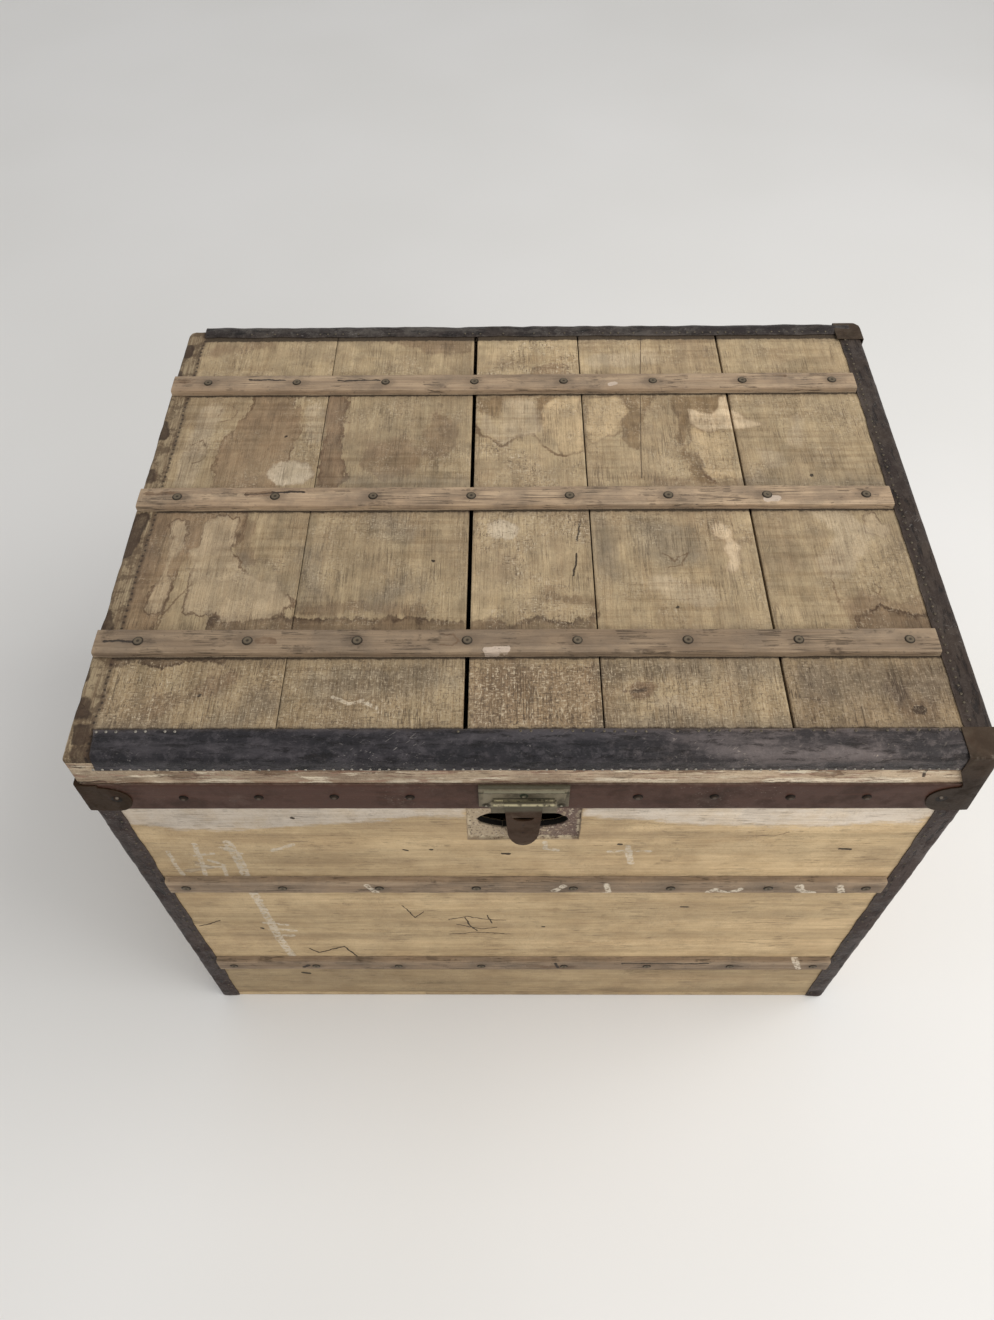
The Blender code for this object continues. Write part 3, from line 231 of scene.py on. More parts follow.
def build_effects():
    vector = ("Vector", "Vector", (0, 0, 0))

    # Wood grain that runs along X: soft streaks, fine fibres, rings, pores and thin drying cracks
    t, given, out = new_effect(
        "wood_grain",
        [vector, ("Ring Count", "Float", 9.0)],
        ["Streaks", "Fibres", "Rings", "Pores", "Checks"],
    )
    place = given["Vector"]
    t.join(out["Streaks"], t.patches(place, (3.0, 130.0, 130.0), 5.0, 0.68, 0.32, 0.68))
    t.join(out["Fibres"], t.patches(place, (24.0, 620.0, 620.0), 3.0, 0.62, 0.44, 0.66))
    phase = t.times(t.noise(place, (2.2, 9.0, 9.0), 2.0, 0.4), given["Ring Count"])
    t.join(out["Rings"], t.step(t.math("PINGPONG", phase, 0.5), 0.0, 0.5))
    t.join(out["Pores"], t.patches(place, (110.0, 1100.0, 1100.0), 2.0, 0.5, 0.64, 0.74))
    split = t.apart(t.noise(place, (9.0, 210.0, 210.0), 3.0, 0.6), 0.5)
    some = t.patches(place, 26.0, 4.0, 0.7, 0.50, 0.60)
    t.join(out["Checks"], t.times(t.step(split, 0.030, 0.004), some))

    # Left by a glued cloth cover: dark crossed threads, and pale flecks of glue
    t, given, out = new_effect("glue_weave", [vector], ["Threads", "Flecks"])
    across = t.noise(given["Vector"], (210.0, 640.0, 640.0), 3.0, 0.7)
    along = t.noise(given["Vector"], (640.0, 170.0, 170.0), 3.0, 0.7)
    t.join(out["Threads"], t.step(t.math("MINIMUM", across, along), 0.44, 0.33))
    t.join(out["Flecks"], t.step(t.math("MAXIMUM", across, along), 0.55, 0.68))

    # Distance to a straight stroke between two points, merged with the distance given
    points = [(title, "Vector", (0, 0, 0)) for title in ("Vector", "Start", "Run", "Share")]
    values = [("Radius", "Float", 0.0), ("Join", "Float", 1.0)]
    t, given, out = new_effect("stroke", points + values, ["Distance"])
    away = t.vector("SUBTRACT", given["Vector"], given["Start"])
    share = t.plus(t.vector("DOT_PRODUCT", away, given["Share"]), 0.0, clamp=True)
    near = t.vector("SUBTRACT", away, t.scale(given["Run"], share))
    own = t.minus(t.vector("LENGTH", near), given["Radius"])
    t.join(out["Distance"], t.math("MINIMUM", own, given["Join"]))

    # Fill and rim of a stain, from the distance to its outline
    t, given, out = new_effect(
        "tide_mark",
        [("Distance", "Float", 1.0), ("Rim Width", "Float", 0.002), ("Feather", "Float", 0.002)],
        ["Fill", "Rim"],
    )
    minus_feather = t.times(given["Feather"], -1.0)
    t.join(out["Fill"], t.step(given["Distance"], given["Feather"], minus_feather))
    outside = t.step(given["Distance"], given["Rim Width"], 0.0)
    inside = t.step(given["Distance"], t.times(given["Rim Width"], -2.5), 0.0)
    t.join(out["Rim"], t.times(outside, inside))

    # Dust, dirt and small spots
    t, given, out = new_effect("grime", [vector, ("Size", "Float", 0.05)], ["Clouds", "Specks"])
    rate = t.math("DIVIDE", 1.0, given["Size"])
    t.join(out["Clouds"], t.patches(given["Vector"], rate, 9.0, 0.70, 0.44, 0.64))
    t.join(out["Specks"], t.patches(given["Vector"], t.times(rate, 14.0), 3.0, 0.7, 0.60, 0.72))

    # Scuffs and scratches: short thin lines in two directions, and pale rubbed haze
    t, given, out = new_effect("scuffs", [vector, ("Amount", "Float", 0.5)], ["Lines", "Haze"])
    place = given["Vector"]
    patchy = t.patches(place, 10.0, 3.0, 0.6, 0.50, 0.62)
    lines = 0.0
    for angle in (0.45, -0.8):
        inputs = {"Vector": place, "Axis": (0.3, 0.4, 1.0), "Angle": angle}
        turned = t.add("ShaderNodeVectorRotate", inputs, rotation_type="AXIS_ANGLE").outputs[0]
        lines = t.math("MAXIMUM", t.patches(turned, (34.0, 720.0, 720.0), 1.0, 0.4, 0.69, 0.76), lines)
    t.join(out["Lines"], t.times(lines, t.linear(patchy, 0.8, 0.2), given["Amount"]))
    t.join(out["Haze"], t.times(t.patches(place, 34.0, 9.0, 0.74, 0.48, 0.66), patchy))

    # Bare spots where a raised edge has been rubbed
    t, given, out = new_effect("rubbed_edge", [vector, ("Ridge", "Float", 0.5)], ["Wear"])
    rough = t.times(t.minus(t.noise(given["Vector"], 90.0, 5.0, 0.7), 0.5), 0.16)
    t.join(out["Wear"], t.step(t.plus(given["Ridge"], rough), 0.53, 0.62))


# Marks on the wood, in millimetres

# A line: its colour, strength, feather (mm) and how far it bends (m)
LINE_KINDS = {
    "tide": ((0.120, 0.066, 0.034), 0.75, 1.7, 0.014),
    "white": ((0.70, 0.61, 0.48), 0.85, 1.2, 0.007),
    "chip": ((0.52, 0.42, 0.335), 0.85, 0.6, 0.007),
    "dark": ((0.026, 0.018, 0.013), 0.94, 0.8, 0.007),
    "hairline": ((0.070, 0.045, 0.027), 0.80, 0.6, 0.0012),
}

# An area: fill colour and strength, rim colour and strength, rim width, feather and raggedness (mm)
AREA_KINDS = {
    "tan": ((0.400, 0.280, 0.160), 0.45, (0.30, 0.20, 0.11), 0.0, 2.0, 7.0, 34),
    "damp": ((0.256, 0.172, 0.102), 0.84, (0.110, 0.062, 0.034), 0.75, 1.6, 3.0, 44),
    "brown": ((0.205, 0.136, 0.082), 0.75, (0.140, 0.084, 0.049), 0.30, 2.4, 8.0, 44),
    "red": ((0.228, 0.148, 0.090), 0.85, (0.120, 0.068, 0.039), 0.75, 1.6, 2.6, 38),
    "wet": ((0.190, 0.128, 0.077), 0.88, (0.070, 0.040, 0.022), 0.95, 2.4, 2.0, 36),
    "grey": ((0.175, 0.147, 0.113), 0.55, (0.15, 0.13, 0.10), 0.0, 3.0, 12.0, 50),
    "shade": ((0.200, 0.131, 0.069), 0.84, (0.12, 0.072, 0.04), 0.30, 1.6, 3.2, 24),
    "light": ((0.515, 0.382, 0.224), 0.88, (0.115, 0.070, 0.039), 0.55, 1.7, 1.6, 20),
    "pale": ((0.450, 0.346, 0.224), 0.84, (0.105, 0.060, 0.033), 0.85, 1.4, 2.0, 30),
    "faded": ((0.480, 0.382, 0.262), 0.60, (0.20, 0.13, 0.08), 0.0, 1.4, 4.0, 26),
    "bleach": ((0.560, 0.462, 0.335), 0.90, (0.200, 0.130, 0.078), 0.40, 1.4, 1.6, 20),
    "star": ((0.620, 0.482, 0.320), 0.90, (0.26, 0.17, 0.10), 0.30, 1.4, 1.4, 8),
    "haze": ((0.680, 0.602, 0.515), 0.86, (0.36, 0.25, 0.14), 0.25, 2.0, 4.0, 34),
    "cream": ((0.780, 0.680, 0.520), 0.95, (0.38, 0.27, 0.17), 0.25, 1.4, 1.2, 6),
    "raw": ((0.460, 0.360, 0.240), 0.85, (0.070, 0.046, 0.034), 0.75, 1.4, 0.9, 3),
    "glue": ((0.055, 0.034, 0.022), 0.92, (0.026, 0.016, 0.011), 0.60, 1.6, 1.2, 12),
}

LID_AREAS = [
    # left plank
    ("damp", 0, [
        (-303, 180), (-303, 152), (-314, 127), (-326, 100), (-330, 71), (-328, 18), (-262, 18),
        (-250, 70), (-240, 120), (-250, 180),
    ]),
    ("faded", 12, [(-344, 150), (-352, 96), (-356, 40)]),
    ("faded", 10, [(-232, 150), (-226, 108)]),
    ("bleach", 0, [
        (-268, 50), (-262, 66), (-244, 70), (-226, 64), (-219, 48), (-230, 34), (-252, 31), (-264, 38),
    ]),
    ("pale", 0, [
        (-323, -53), (-325, -27), (-314, -13), (-290, -16), (-287, -46), (-290, -63), (-268, -92),
        (-235, -104), (-220, -128), (-231, -143), (-259, -147), (-283, -149), (-293, -139), (-305, -142),
        (-322, -138), (-324, -124), (-325, -94), (-333, -59),
    ]),
    ("pale", 0, [
        (-354, -17), (-341, -19), (-336, -36), (-338, -56), (-346, -80), (-338, -104), (-345, -138),
        (-357, -136), (-359, -115), (-355, -94), (-353, -72), (-352, -50),
    ]),
    ("wet", 0, [
        (-293, -143), (-283, -150), (-259, -148), (-231, -145), (-217, -151), (-217, -166), (-293, -166),
    ]),
    ("wet", 0, [
        (-383, -190), (-276, -190), (-276, -197), (-311, -196), (-331, -203), (-353, -200), (-383, -203),
    ]),
    ("damp", 0, [
        (-386, -2), (-300, -4), (-282, -8), (-284, -50), (-296, -64), (-328, -66), (-350, -166),
        (-386, -166),
    ]),
    ("brown", 0, [(-384, -4), (-366, -10), (-364, -60), (-366, -130), (-384, -150)]),
    ("brown", 7, [(-276, -24), (-280, -52), (-270, -74)]),
    ("grey", 10, [(-278, -76), (-259, -103), (-230, -108)]),
    ("brown", 7, [(-330, -250), (-300, -234), (-262, -214)]),
    ("grey", 12, [(-262, -268), (-232, -240)]),
    ("grey", 8, [(-372, -262), (-330, -272), (-240, -276)]),
    ("brown", 8, [(-360, 262), (-300, 268)]),
    # mid-left plank
    ("red", 0, [(-216, 178), (-192, 178), (-194, 129), (-193, 85), (-186, 46), (-192, 18), (-216, 18)]),
    ("brown", 0, [(-168, 95), (-130, 108), (-108, 82), (-118, 50), (-150, 44), (-172, 66)]),
    ("brown", 0, [(-98, 148), (-72, 124), (-68, 84), (-95, 78), (-106, 112)]),
    ("brown", 0, [(-168, 288), (-60, 288), (-60, 256), (-90, 250), (-130, 260)]),
    ("grey", 9, [(-186, 36), (-70, 34)]),
    ("wet", 0, [
        (-216, -150), (-180, -148), (-134, -145), (-93, -149), (-54, -148), (-54, -166), (-216, -166),
    ]),
    ("brown", 5, [(-204, -136), (-150, -132), (-100, -137)]),
    ("grey", 13, [(-146, -20), (-122, -38)]),
    ("grey", 14, [(-106, -104), (-140, -122)]),
    ("grey", 10, [(-216, -60), (-200, -120)]),
    ("grey", 16, [(-190, -222), (-80, -216)]),
    # middle plank
    ("damp", 0, [(-46, 205), (8, 206), (14, 226), (25, 232), (44, 227), (52, 210), (56, 200), (-46, 196)]),
    ("light", 0, [
        (38, 170), (64, 172), (66, 144), (66, 106), (66, 83), (43, 74), (37, 88), (31, 108), (29, 116),
        (24, 112), (22, 129), (20, 146), (25, 156), (31, 164),
    ]),
    ("faded", 0, [
        (-44, 141), (-39, 141), (-31, 124), (-25, 103), (-21, 92), (-27, 98), (-35, 107), (-43, 108),
        (-47, 121),
    ]),
    ("faded", 0, [
        (-22, 166), (-7, 170), (14, 166), (17, 139), (20, 114), (12, 110), (-6, 106), (-11, 96),
        (-20, 91), (-25, 106), (-23, 139),
    ]),
    ("shade", 0, [(-51, 171), (-24, 171), (-21, 164), (-25, 139), (-37, 141), (-48, 149)]),
    ("shade", 0, [(16, 171), (38, 171), (31, 164), (25, 156), (20, 146), (20, 129), (17, 114), (14, 139)]),
    ("bleach", 14, [(-22, -32), (-20, -33)]),
    ("wet", 0, [
        (-52, -150), (-32, -148), (-12, -153), (5, -149), (38, -150), (65, -144), (65, -166), (-52, -166),
    ]),
    ("brown", 6, [(-12, -206), (0, -212)]),
    ("brown", 0, [(-50, -202), (62, -202), (64, -268), (-50, -268)]),
    ("brown", 5, [(22, -120), (60, -128)]),
    # plank right of the middle
    ("light", 0, [
        (68, 173), (107, 173), (111, 161), (115, 146), (107, 129), (110, 116), (100, 106), (86, 103),
        (71, 93), (68, 106),
    ]),
    ("shade", 0, [
        (109, 173), (131, 173), (125, 84), (113, 84), (107, 98), (110, 113), (108, 129), (116, 146),
        (113, 161),
    ]),
    ("brown", 3, [(82, 133), (87, 137)]),
    ("shade", 0, [(134, 172), (149, 172), (142, 158), (135, 140)]),
    ("shade", 0, [
        (160, 171), (221, 171), (219, 161), (209, 141), (198, 146), (184, 151), (182, 129), (177, 113),
        (177, 101), (170, 88), (166, 106), (170, 131), (164, 151),
    ]),
    ("star", 0, [
        (184, 151), (196, 144), (208, 140), (217, 151), (220, 169), (226, 170), (228, 149), (236, 145),
        (245, 134), (263, 124), (246, 117), (230, 116), (213, 117), (202, 111), (193, 116), (182, 127),
    ]),
    ("light", 0, [
        (182, 126), (193, 116), (202, 111), (219, 116), (224, 113), (222, 40), (199, 35), (193, 40),
        (188, 61), (182, 78), (171, 87), (178, 101), (177, 114),
    ]),
    ("shade", 0, [(171, 86), (182, 77), (188, 59), (193, 39), (198, 34), (175, 34), (171, 58), (167, 78)]),
    ("star", 0, [
        (186, -26), (198, -24), (206, -36), (204, -46), (214, -58), (208, -66), (210, -78), (202, -92),
        (194, -88), (199, -72), (194, -60), (200, -50), (188, -42),
    ]),
    ("grey", 0, [(110, -16), (162, -26), (174, -70), (140, -94), (112, -70)]),
    ("grey", 12, [(76, -20), (84, -90)]),
    ("red", 0, [(86, -229), (95, -221), (112, -217), (119, -226), (108, -237), (94, -239)]),
    ("glue", 2, [(92, -231), (108, -227)]),
    ("faded", 8, [(133, -246), (118, -242)]),
    ("faded", 14, [(130, -104), (170, -122)]),
    ("faded", 12, [(84, 236), (150, 242)]),
    ("grey", 12, [(76, -206), (220, -204)]),
    ("grey", 10, [(70, -264), (220, -266)]),
    ("brown", 6, [(140, 34), (220, 30)]),
    # right plank
    ("faded", 0, [(250, 84), (275, 80), (279, 57), (256, 54)]),
    ("faded", 6, [(300, 137), (293, 98)]),
    ("faded", 16, [(290, 10), (330, -40), (300, -80)]),
    ("brown", 0, [
        (298, -130), (316, -116), (338, -125), (352, -131), (368, -121), (382, -128), (382, -166),
        (298, -166),
    ]),
    ("wet", 0, [(304, -142), (330, -136), (360, -146), (380, -148), (380, -166), (304, -166)]),
    ("pale", 0, [(337, -17), (352, -12), (362, -30), (355, -47), (338, -38)]),
    ("glue", 4, [(338, -251), (342, -251)]),
    ("brown", 10, [(334, -250), (345, -252)]),
    ("brown", 6, [(325, -228), (330, -229)]),
    ("grey", 0, [(236, -200), (376, -198), (380, -240), (240, -238)]),
    ("grey", 9, [(240, 34), (370, 30)]),
]

LID_LINES = [
    ("tide", 1.0, [
        (-51, 124), (-46, 109), (-36, 106), (-27, 96), (-20, 90), (-12, 96), (-7, 106), (10, 110),
        (23, 88), (36, 76), (44, 74),
    ]),
    ("tide", 1.6, [(182, 78), (187, 61), (189, 46), (198, 35)]),
    ("tide", 0, [(-337, 141), (-331, 163), (-318, 152), (-321, 135), (-334, 132)]),
    ("tide", 0, [(-356, 97), (-347, 104), (-340, 84), (-343, 70), (-352, 66)]),
    ("tide", 0, [(-322, -100), (-332, -124), (-341, -140), (-344, -158)]),
    ("dark", 1.3, [(-291, -234), (-291, -234.5)]),
    ("dark", 1.0, [(-257, 107), (-257, 107.5)]),
    ("white", 1.2, [(-172, -236), (-158, -243), (-146, -240), (-132, -248)]),
    ("dark", 1.0, [(-91, -74), (-91, -74.5)]),
    ("dark", 0.5, [(56, -25), (54, -36), (51, -48)]),
    ("dark", 0.5, [(50, -66), (49, -80), (46, -94)]),
    ("hairline", 0.3, [(141, 281), (136, 224), (132, 173), (127, 107), (123, 41)]),
    ("tide", 0, [(134, -65), (145, -75), (160, -65), (153, -82), (140, -84)]),
    ("tide", 0, [(301, -75), (293, -103), (294, -129)]),
    ("tide", 0, [(330, -106), (338, -112), (333, -119), (327, -112), (330, -106)]),
    ("dark", 1.2, [(300, 43), (300, 43.5)]),
    ("dark", 1.0, [(143, -134), (143, -134.5)]),
    ("dark", 1.6, [(-394, 48), (-394, 47)]),
    ("dark", 1.0, [(-402, -300), (-384, -299), (-373, -298)]),
    ("dark", 2.2, [(-394, -245), (-393, -246)]),
]

# Old glue on the strip that the lost left binding covered
GLUE_AREAS = [
    ("glue", 6, [(-393, 264), (-391, 250)]),
    ("glue", 0, [(-401, -232), (-388, -236), (-384, -256), (-396, -258), (-401, -250)]),
    ("glue", 0, [(-394, -264), (-380, -266), (-378, -286), (-391, -284)]),
    ("glue", 0, [(-391, -287), (-375, -287), (-371, -300), (-380, -303), (-390, -299)]),
    ("glue", 4, [(-397, 220), (-395, 212)]),
    ("glue", 6, [(-396, 130), (-391, 110)]),
    ("glue", 5, [(-395, 54), (-392, 40)]),
    ("glue", 7, [(-389, -14), (-394, -62)]),
    ("glue", 6, [(-395, -140), (-390, -158)]),
    ("glue", 3, [(-397, -205), (-396, -216)]),
    ("cream", 3, [(-400, -262), (-399, -290)]),
    ("brown", 8, [(-388, 200), (-388, 160)]),
    ("brown", 7, [(-386, 20), (-386, 0)]),
    ("brown", 8, [(-386, -90), (-386, -130)]),
    ("brown", 7, [(-388, -180), (-388, -205)]),
]

# The bare strip of the lid's front edge, as (x, z)
RIM_AREAS = [
    ("cream", 0, [(-294, 566), (-286, 573), (-262, 575), (-244, 572), (-238, 566)]),
    ("cream", 0, [(-190, 566), (-186, 573), (-176, 572), (-172, 566)]),
    ("cream", 4, [(-120, 567), (-60, 568)]),
    ("cream", 5, [(210, 569), (330, 570)]),
    ("cream", 3, [(60, 572), (130, 570)]),
    ("red", 5, [(-318, 583), (-288, 580)]),
    ("red", 3, [(-250, 589), (-60, 590)]),
    ("red", 3, [(20, 590), (372, 590)]),
    ("red", 4, [(250, 582), (270, 582)]),
    ("glue", 3, [(-392, 596), (-384, 594)]),
    ("glue", 1.2, [(-397, 586), (-392, 586)]),
    ("brown", 3, [(-396, 570), (-340, 570)]),
]

RIM_LINES = [
    ("dark", 0.8, [(343, 592), (341, 583), (342, 578)]),
    ("dark", 0.8, [(-397, 568), (-372, 569)]),
    ("tide", 0, [(-150, 583), (-120, 586), (-100, 582)]),
]

FRONT_AREAS = [
    ("haze", 0, [
        (-396, 523), (-396, 494), (-360, 484), (-322, 472), (-280, 476), (-241, 480), (-200, 486),
        (-146, 492), (-100, 498), (-58, 500), (-58, 523),
    ]),
    ("haze", 0, [
        (54, 523), (56, 504), (100, 498), (145, 488), (233, 483), (288, 479), (330, 486), (363, 490),
        (396, 504), (396, 523),
    ]),
    ("tan", 9, [(-160, 482), (-80, 488)]),
    ("raw", 0, [(-55.8, 523), (-55.8, 454.7), (50.8, 454.7), (50.8, 523)]),
    ("bleach", 3, [(-334, 405), (-322, 392), (-345, 384)]),
    ("tan", 0, [(56, 476), (120, 470), (220, 462), (226, 450), (120, 452), (60, 460)]),
    ("tan", 9, [(-300, 456), (-180, 462)]),
    ("tan", 6, [(300, 434), (326, 434)]),
    ("tan", 5, [(168, 292), (182, 290)]),
    ("tan", 4, [(352, 227), (358, 227)]),
    ("tan", 9, [(-330, 205), (-150, 198)]),
    ("tan", 7, [(40, 190), (96, 176)]),
    ("tan", 7, [(-260, 400), (-120, 404)]),
    ("tan", 6, [(20, 160), (80, 150)]),
    ("tan", 8, [(130, 300), (236, 296)]),
    ("tan", 8, [(-120, 246), (-20, 236)]),
    ("tan", 5, [(-380, 18), (-200, 16)]),
    ("tan", 5, [(0, 18), (300, 16)]),
    ("tan", 10, [(150, 70), (300, 64)]),
]

FRONT_LINES = [
    ("white", 4.2, [(-292, 448), (-289, 408), (-290, 333), (-288, 261), (-286, 199), (-281, 144)]),
    ("white", 2.6, [(-294, 246), (-270, 240)]),
    ("white", 2.6, [(-292, 226), (-264, 222)]),
    ("white", 2.2, [(-290, 206), (-268, 208)]),
    ("white", 2.2, [(-300, 436), (-284, 424)]),
    ("white", 2.0, [(-330, 418), (-312, 424)]),
    ("white", 2.0, [(-334, 396), (-312, 392)]),
    ("dark", 0.3, [(-76, 242), (-48, 228), (-30, 232)]),
    ("dark", 0.4, [(-66, 262), (-60, 236), (-52, 222)]),
    ("dark", 0.3, [(-40, 268), (-36, 246)]),
    ("white", 2.0, [(-325, 445), (-327, 408), (-331, 373)]),
    ("white", 1.6, [(-355, 428), (-356, 398), (-354, 373)]),
    ("white", 1.8, [(-319, 408), (-307, 398), (-310, 371)]),
    ("white", 2.0, [(-250, 430), (-228, 444)]),
    ("dark", 0.7, [(-255, 166), (-247, 153), (-213, 173), (-201, 142)]),
    ("dark", 0.5, [(-370, 236), (-359, 242), (-343, 252)]),
    ("dark", 0.3, [(-84, 256), (-63, 265), (-47, 257), (-20, 254)]),
    ("dark", 0.3, [(-84, 212), (-54, 218), (-22, 214)]),
    ("dark", 0.2, [(-133, 294), (-122, 261), (-111, 278)]),
    ("dark", 1.6, [(-219, 500), (-218, 499)]),
    ("dark", 1.2, [(-121, 432), (-118, 431)]),
    ("dark", 1.0, [(-95, 433), (-93, 433)]),
    ("dark", 1.6, [(-301, 230), (-300, 229)]),
    ("dark", 2.4, [(-277, 84), (-270, 81)]),
    ("dark", 1.5, [(91, 444), (93, 444)]),
    ("dark", 1.5, [(-23, 423), (-17, 423)]),
    ("dark", 1.4, [(308, 434), (318, 433)]),
    ("tide", 0, [(216, 458), (228, 464), (240, 462), (250, 470)]),
    ("dark", 1.2, [(172, 292), (180, 291)]),
    ("dark", 1.2, [(21, 235), (23, 235)]),
    ("white", 2.2, [(19, 448), (20, 436), (32, 431)]),
    ("white", 2.6, [(100, 440), (102, 420), (107, 401)]),
    ("white", 1.6, [(82, 428), (122, 429)]),
]

SLAT_MARKS = {
    "lid_slat_middle": [
        ("dark", 0.5, [(-286, 11), (-256, 12.5)]),
        ("tide", 3.4, [(-282, 11), (-262, 12)]),
        ("dark", 0.9, [(-258, 13.5), (-226, 14)]),
        ("tide", 2, [(-388, 13), (-345, 14)]),
        ("chip", 4, [(246, 2), (256, 2)]),
    ],
    "lid_slat_back": [
        ("dark", 0.7, [(-310, 195), (-268, 194)]),
        ("dark", 0.6, [(-208, 193), (-162, 193)]),
        ("tide", 3, [(-394, 193), (-380, 193)]),
        ("chip", 2.4, [(98, 184), (104, 186)]),
        ("tide", 2, [(286, 199), (296, 199)]),
    ],
    "lid_slat_front": [
        ("dark", 0.8, [(-386, -178), (-356, -179)]),
        ("chip", 3.0, [(-36, -190), (-18, -188.5)]),
        ("tide", 3, [(-244, -178), (-232, -178)]),
        ("tide", 0, [(-78, -171), (-66, -170), (-60, -178), (-68, -186), (-78, -184)]),
    ],
    "front_slat_upper": [
        ("white", 2.6, [(30, 350), (40, 362)]),
        ("white", 2.4, [(84, 366), (88, 346), (80, 340)]),
        ("white", 2.6, [(192, 348), (199, 354), (214, 344), (224, 356)]),
        ("white", 3.6, [(284, 362), (290, 350), (300, 346)]),
        ("white", 3.0, [(326, 362), (332, 346)]),
        ("white", 2.6, [(-164, 364), (-156, 346)]),
    ],
    "front_slat_lower": [
        ("tide", 4, [(10, 126), (70, 124)]),
        ("dark", 1.4, [(40, 136), (44, 122)]),
        ("dark", 0.9, [(120, 136), (225, 137)]),
        ("white", 3.0, [(330, 140), (338, 120)]),
        ("dark", 2.0, [(-268, 124), (-262, 130)]),
    ],
}


def strokes_near(lines, low, high, across, up):
    """The single strokes that come near a board, by the kind of their line."""
    found = {}
    for kind, radius, points in lines:
        for start, end in zip(points, points[1:]):
            reach = radius + 8
            inside = all(
                min(start[i], end[i]) - reach < 1000 * high[axis]
                and max(start[i], end[i]) + reach > 1000 * low[axis]
                for i, axis in enumerate((across, up))
            )
            if inside:
                found.setdefault(kind, []).append((start, end, radius))
    return found


def on_plane(point, across, up):
    place = [0.0, 0.0, 0.0]
    place[across] = point[0] / 1000
    place[up] = point[1] / 1000
    return Vector(place)


def gap_to_mark(places, points, radius, closed):
    """How far each place lies outside a mark, in metres; inside it the value is below nothing."""
    gap = np.full(len(places), 1.0)
    inside = np.zeros(len(places), bool)
    corners = [np.array(p) / 1000 for p in points]
    ends = corners[1:] + (corners[:1] if closed else [])
    for start, end in zip(corners, ends):
        run = end - start
        away = places - start
        share = np.clip(away @ run / max(run @ run, 1e-12), 0, 1)
        gap = np.minimum(gap, np.linalg.norm(away - share[:, None] * run, axis=1))
        if closed and run[1]:
            level = places[:, 1]
            crosses = (start[1] > level) != (end[1] > level)
            inside ^= crosses & (places[:, 0] < start[0] + (level - start[1]) * run[0] / run[1])
    return np.where(inside, -gap, gap) - radius / 1000


def write_areas(mesh, areas, across, up):
    """Store on the mesh, for every kind of area, how far each point lies from the nearest one."""
    flat = np.empty(len(mesh.vertices) * 3)
    mesh.vertices.foreach_get("co", flat)
    places = flat.reshape(-1, 3)[:, (across, up)]
    kinds = []
    for kind in AREA_KINDS:
        own = [(radius, points) for name, radius, points in areas if name == kind]
        if own:
            gaps = [gap_to_mark(places, points, radius, radius == 0) for radius, points in own]
            nearest = np.clip(np.min(gaps, axis=0), -0.05, 0.05)
            if nearest.min() < 0.02:
                layer = mesh.attributes.new("area_" + kind, "FLOAT", "POINT")
                layer.data.foreach_set("value", nearest.astype(np.float32))
                kinds.append(kind)
    return kinds


def paint_areas(t, colour, place, kinds, run="Y"):
    """Lay the areas stored on a mesh over a colour, each with a rim that is ragged along the grain."""
    drawn = t.vector("MULTIPLY", place, {"X": (0.7, 1.9, 1.9), "Y": (1.9, 0.8, 1.9)}[run])
    edge = t.minus(t.noise(drawn, 20.0, 8.0, 0.66), 0.5)
    edge = t.linear(t.minus(t.noise(drawn, 105.0, 4.0, 0.60), 0.5), 0.36, edge)
    uneven = t.patches(place, 26.0, 8.0, 0.72, 0.34, 0.58)
    broken = t.patches(place, 17.0, 4.0, 0.66, 0.40, 0.56)
    for kind in kinds:
        fill_colour, fill, rim_colour, rim, width, feather, ragged = AREA_KINDS[kind]
        distance = t.linear(edge, ragged / 1000, t.stored("area_" + kind))
        inputs = {"Distance": distance, "Rim Width": width / 1000, "Feather": feather / 1000}
        mark = t.effect("tide_mark", inputs)
        share = t.times(t.linear(uneven, 0.35, 0.65), fill)
        colour = t.lay(colour, fill_colour, mark["Fill"], share)
        if rim:
            share = t.times(t.linear(broken, 0.85, 0.15), rim)
            colour = t.lay(colour, rim_colour, mark["Rim"], share)
    return colour


def paint_lines(t, colour, place, lines, box, across, up):
    """Draw lines over a colour. Gives the colour and the mask of the dark ones, which are dents."""
    found = strokes_near(lines, *box, across, up)
    holes = None
    if not found:
        return colour, holes
    flat = [0.0, 0.0, 0.0]
    flat[across] = flat[up] = 1.0
    broken = {
        "tide": t.patches(place, 34.0, 5.0, 0.65, 0.30, 0.60),
        "white": t.patches(place, 210.0, 4.0, 0.75, 0.38, 0.54),
    }
    for kind, strokes in found.items():
        line_colour, strength, feather, reach = LINE_KINDS[kind]
        bend = t.vector("SUBTRACT", t.noise(place, 65.0, 4.0, 0.62, True), (0.5, 0.5, 0.5))
        points = t.vector("MULTIPLY", t.vector("ADD", place, t.scale(bend, reach)), flat)
        distance = 1.0
        for start, end, radius in strokes:
            first = on_plane(start, across, up)
            run = on_plane(end, across, up) - first
            inputs = {
                "Vector": points,
                "Start": first,
                "Run": run,
                "Share": run / max(run.length_squared, 1e-12),
                "Radius": radius / 1000,
                "Join": distance,
            }
            distance = t.effect("stroke", inputs)["Distance"]
        mask = t.step(distance, feather / 1000, 0.0)
        share = t.times(mask, strength)
        if kind in broken:
            share = t.times(share, broken[kind])
        colour = t.mix(share, colour, line_colour)
        if kind == "dark":
            holes = mask
    return colour, holes


# Finishes

def new_material(name):
    material = bpy.data.materials.new(name)
    material.use_nodes = True
    t = Tree(material.node_tree)
    shader = material.node_tree.nodes["Principled BSDF"]
    place = t.add("ShaderNodeTexCoord").outputs["Object"]
    return material, t, shader, place


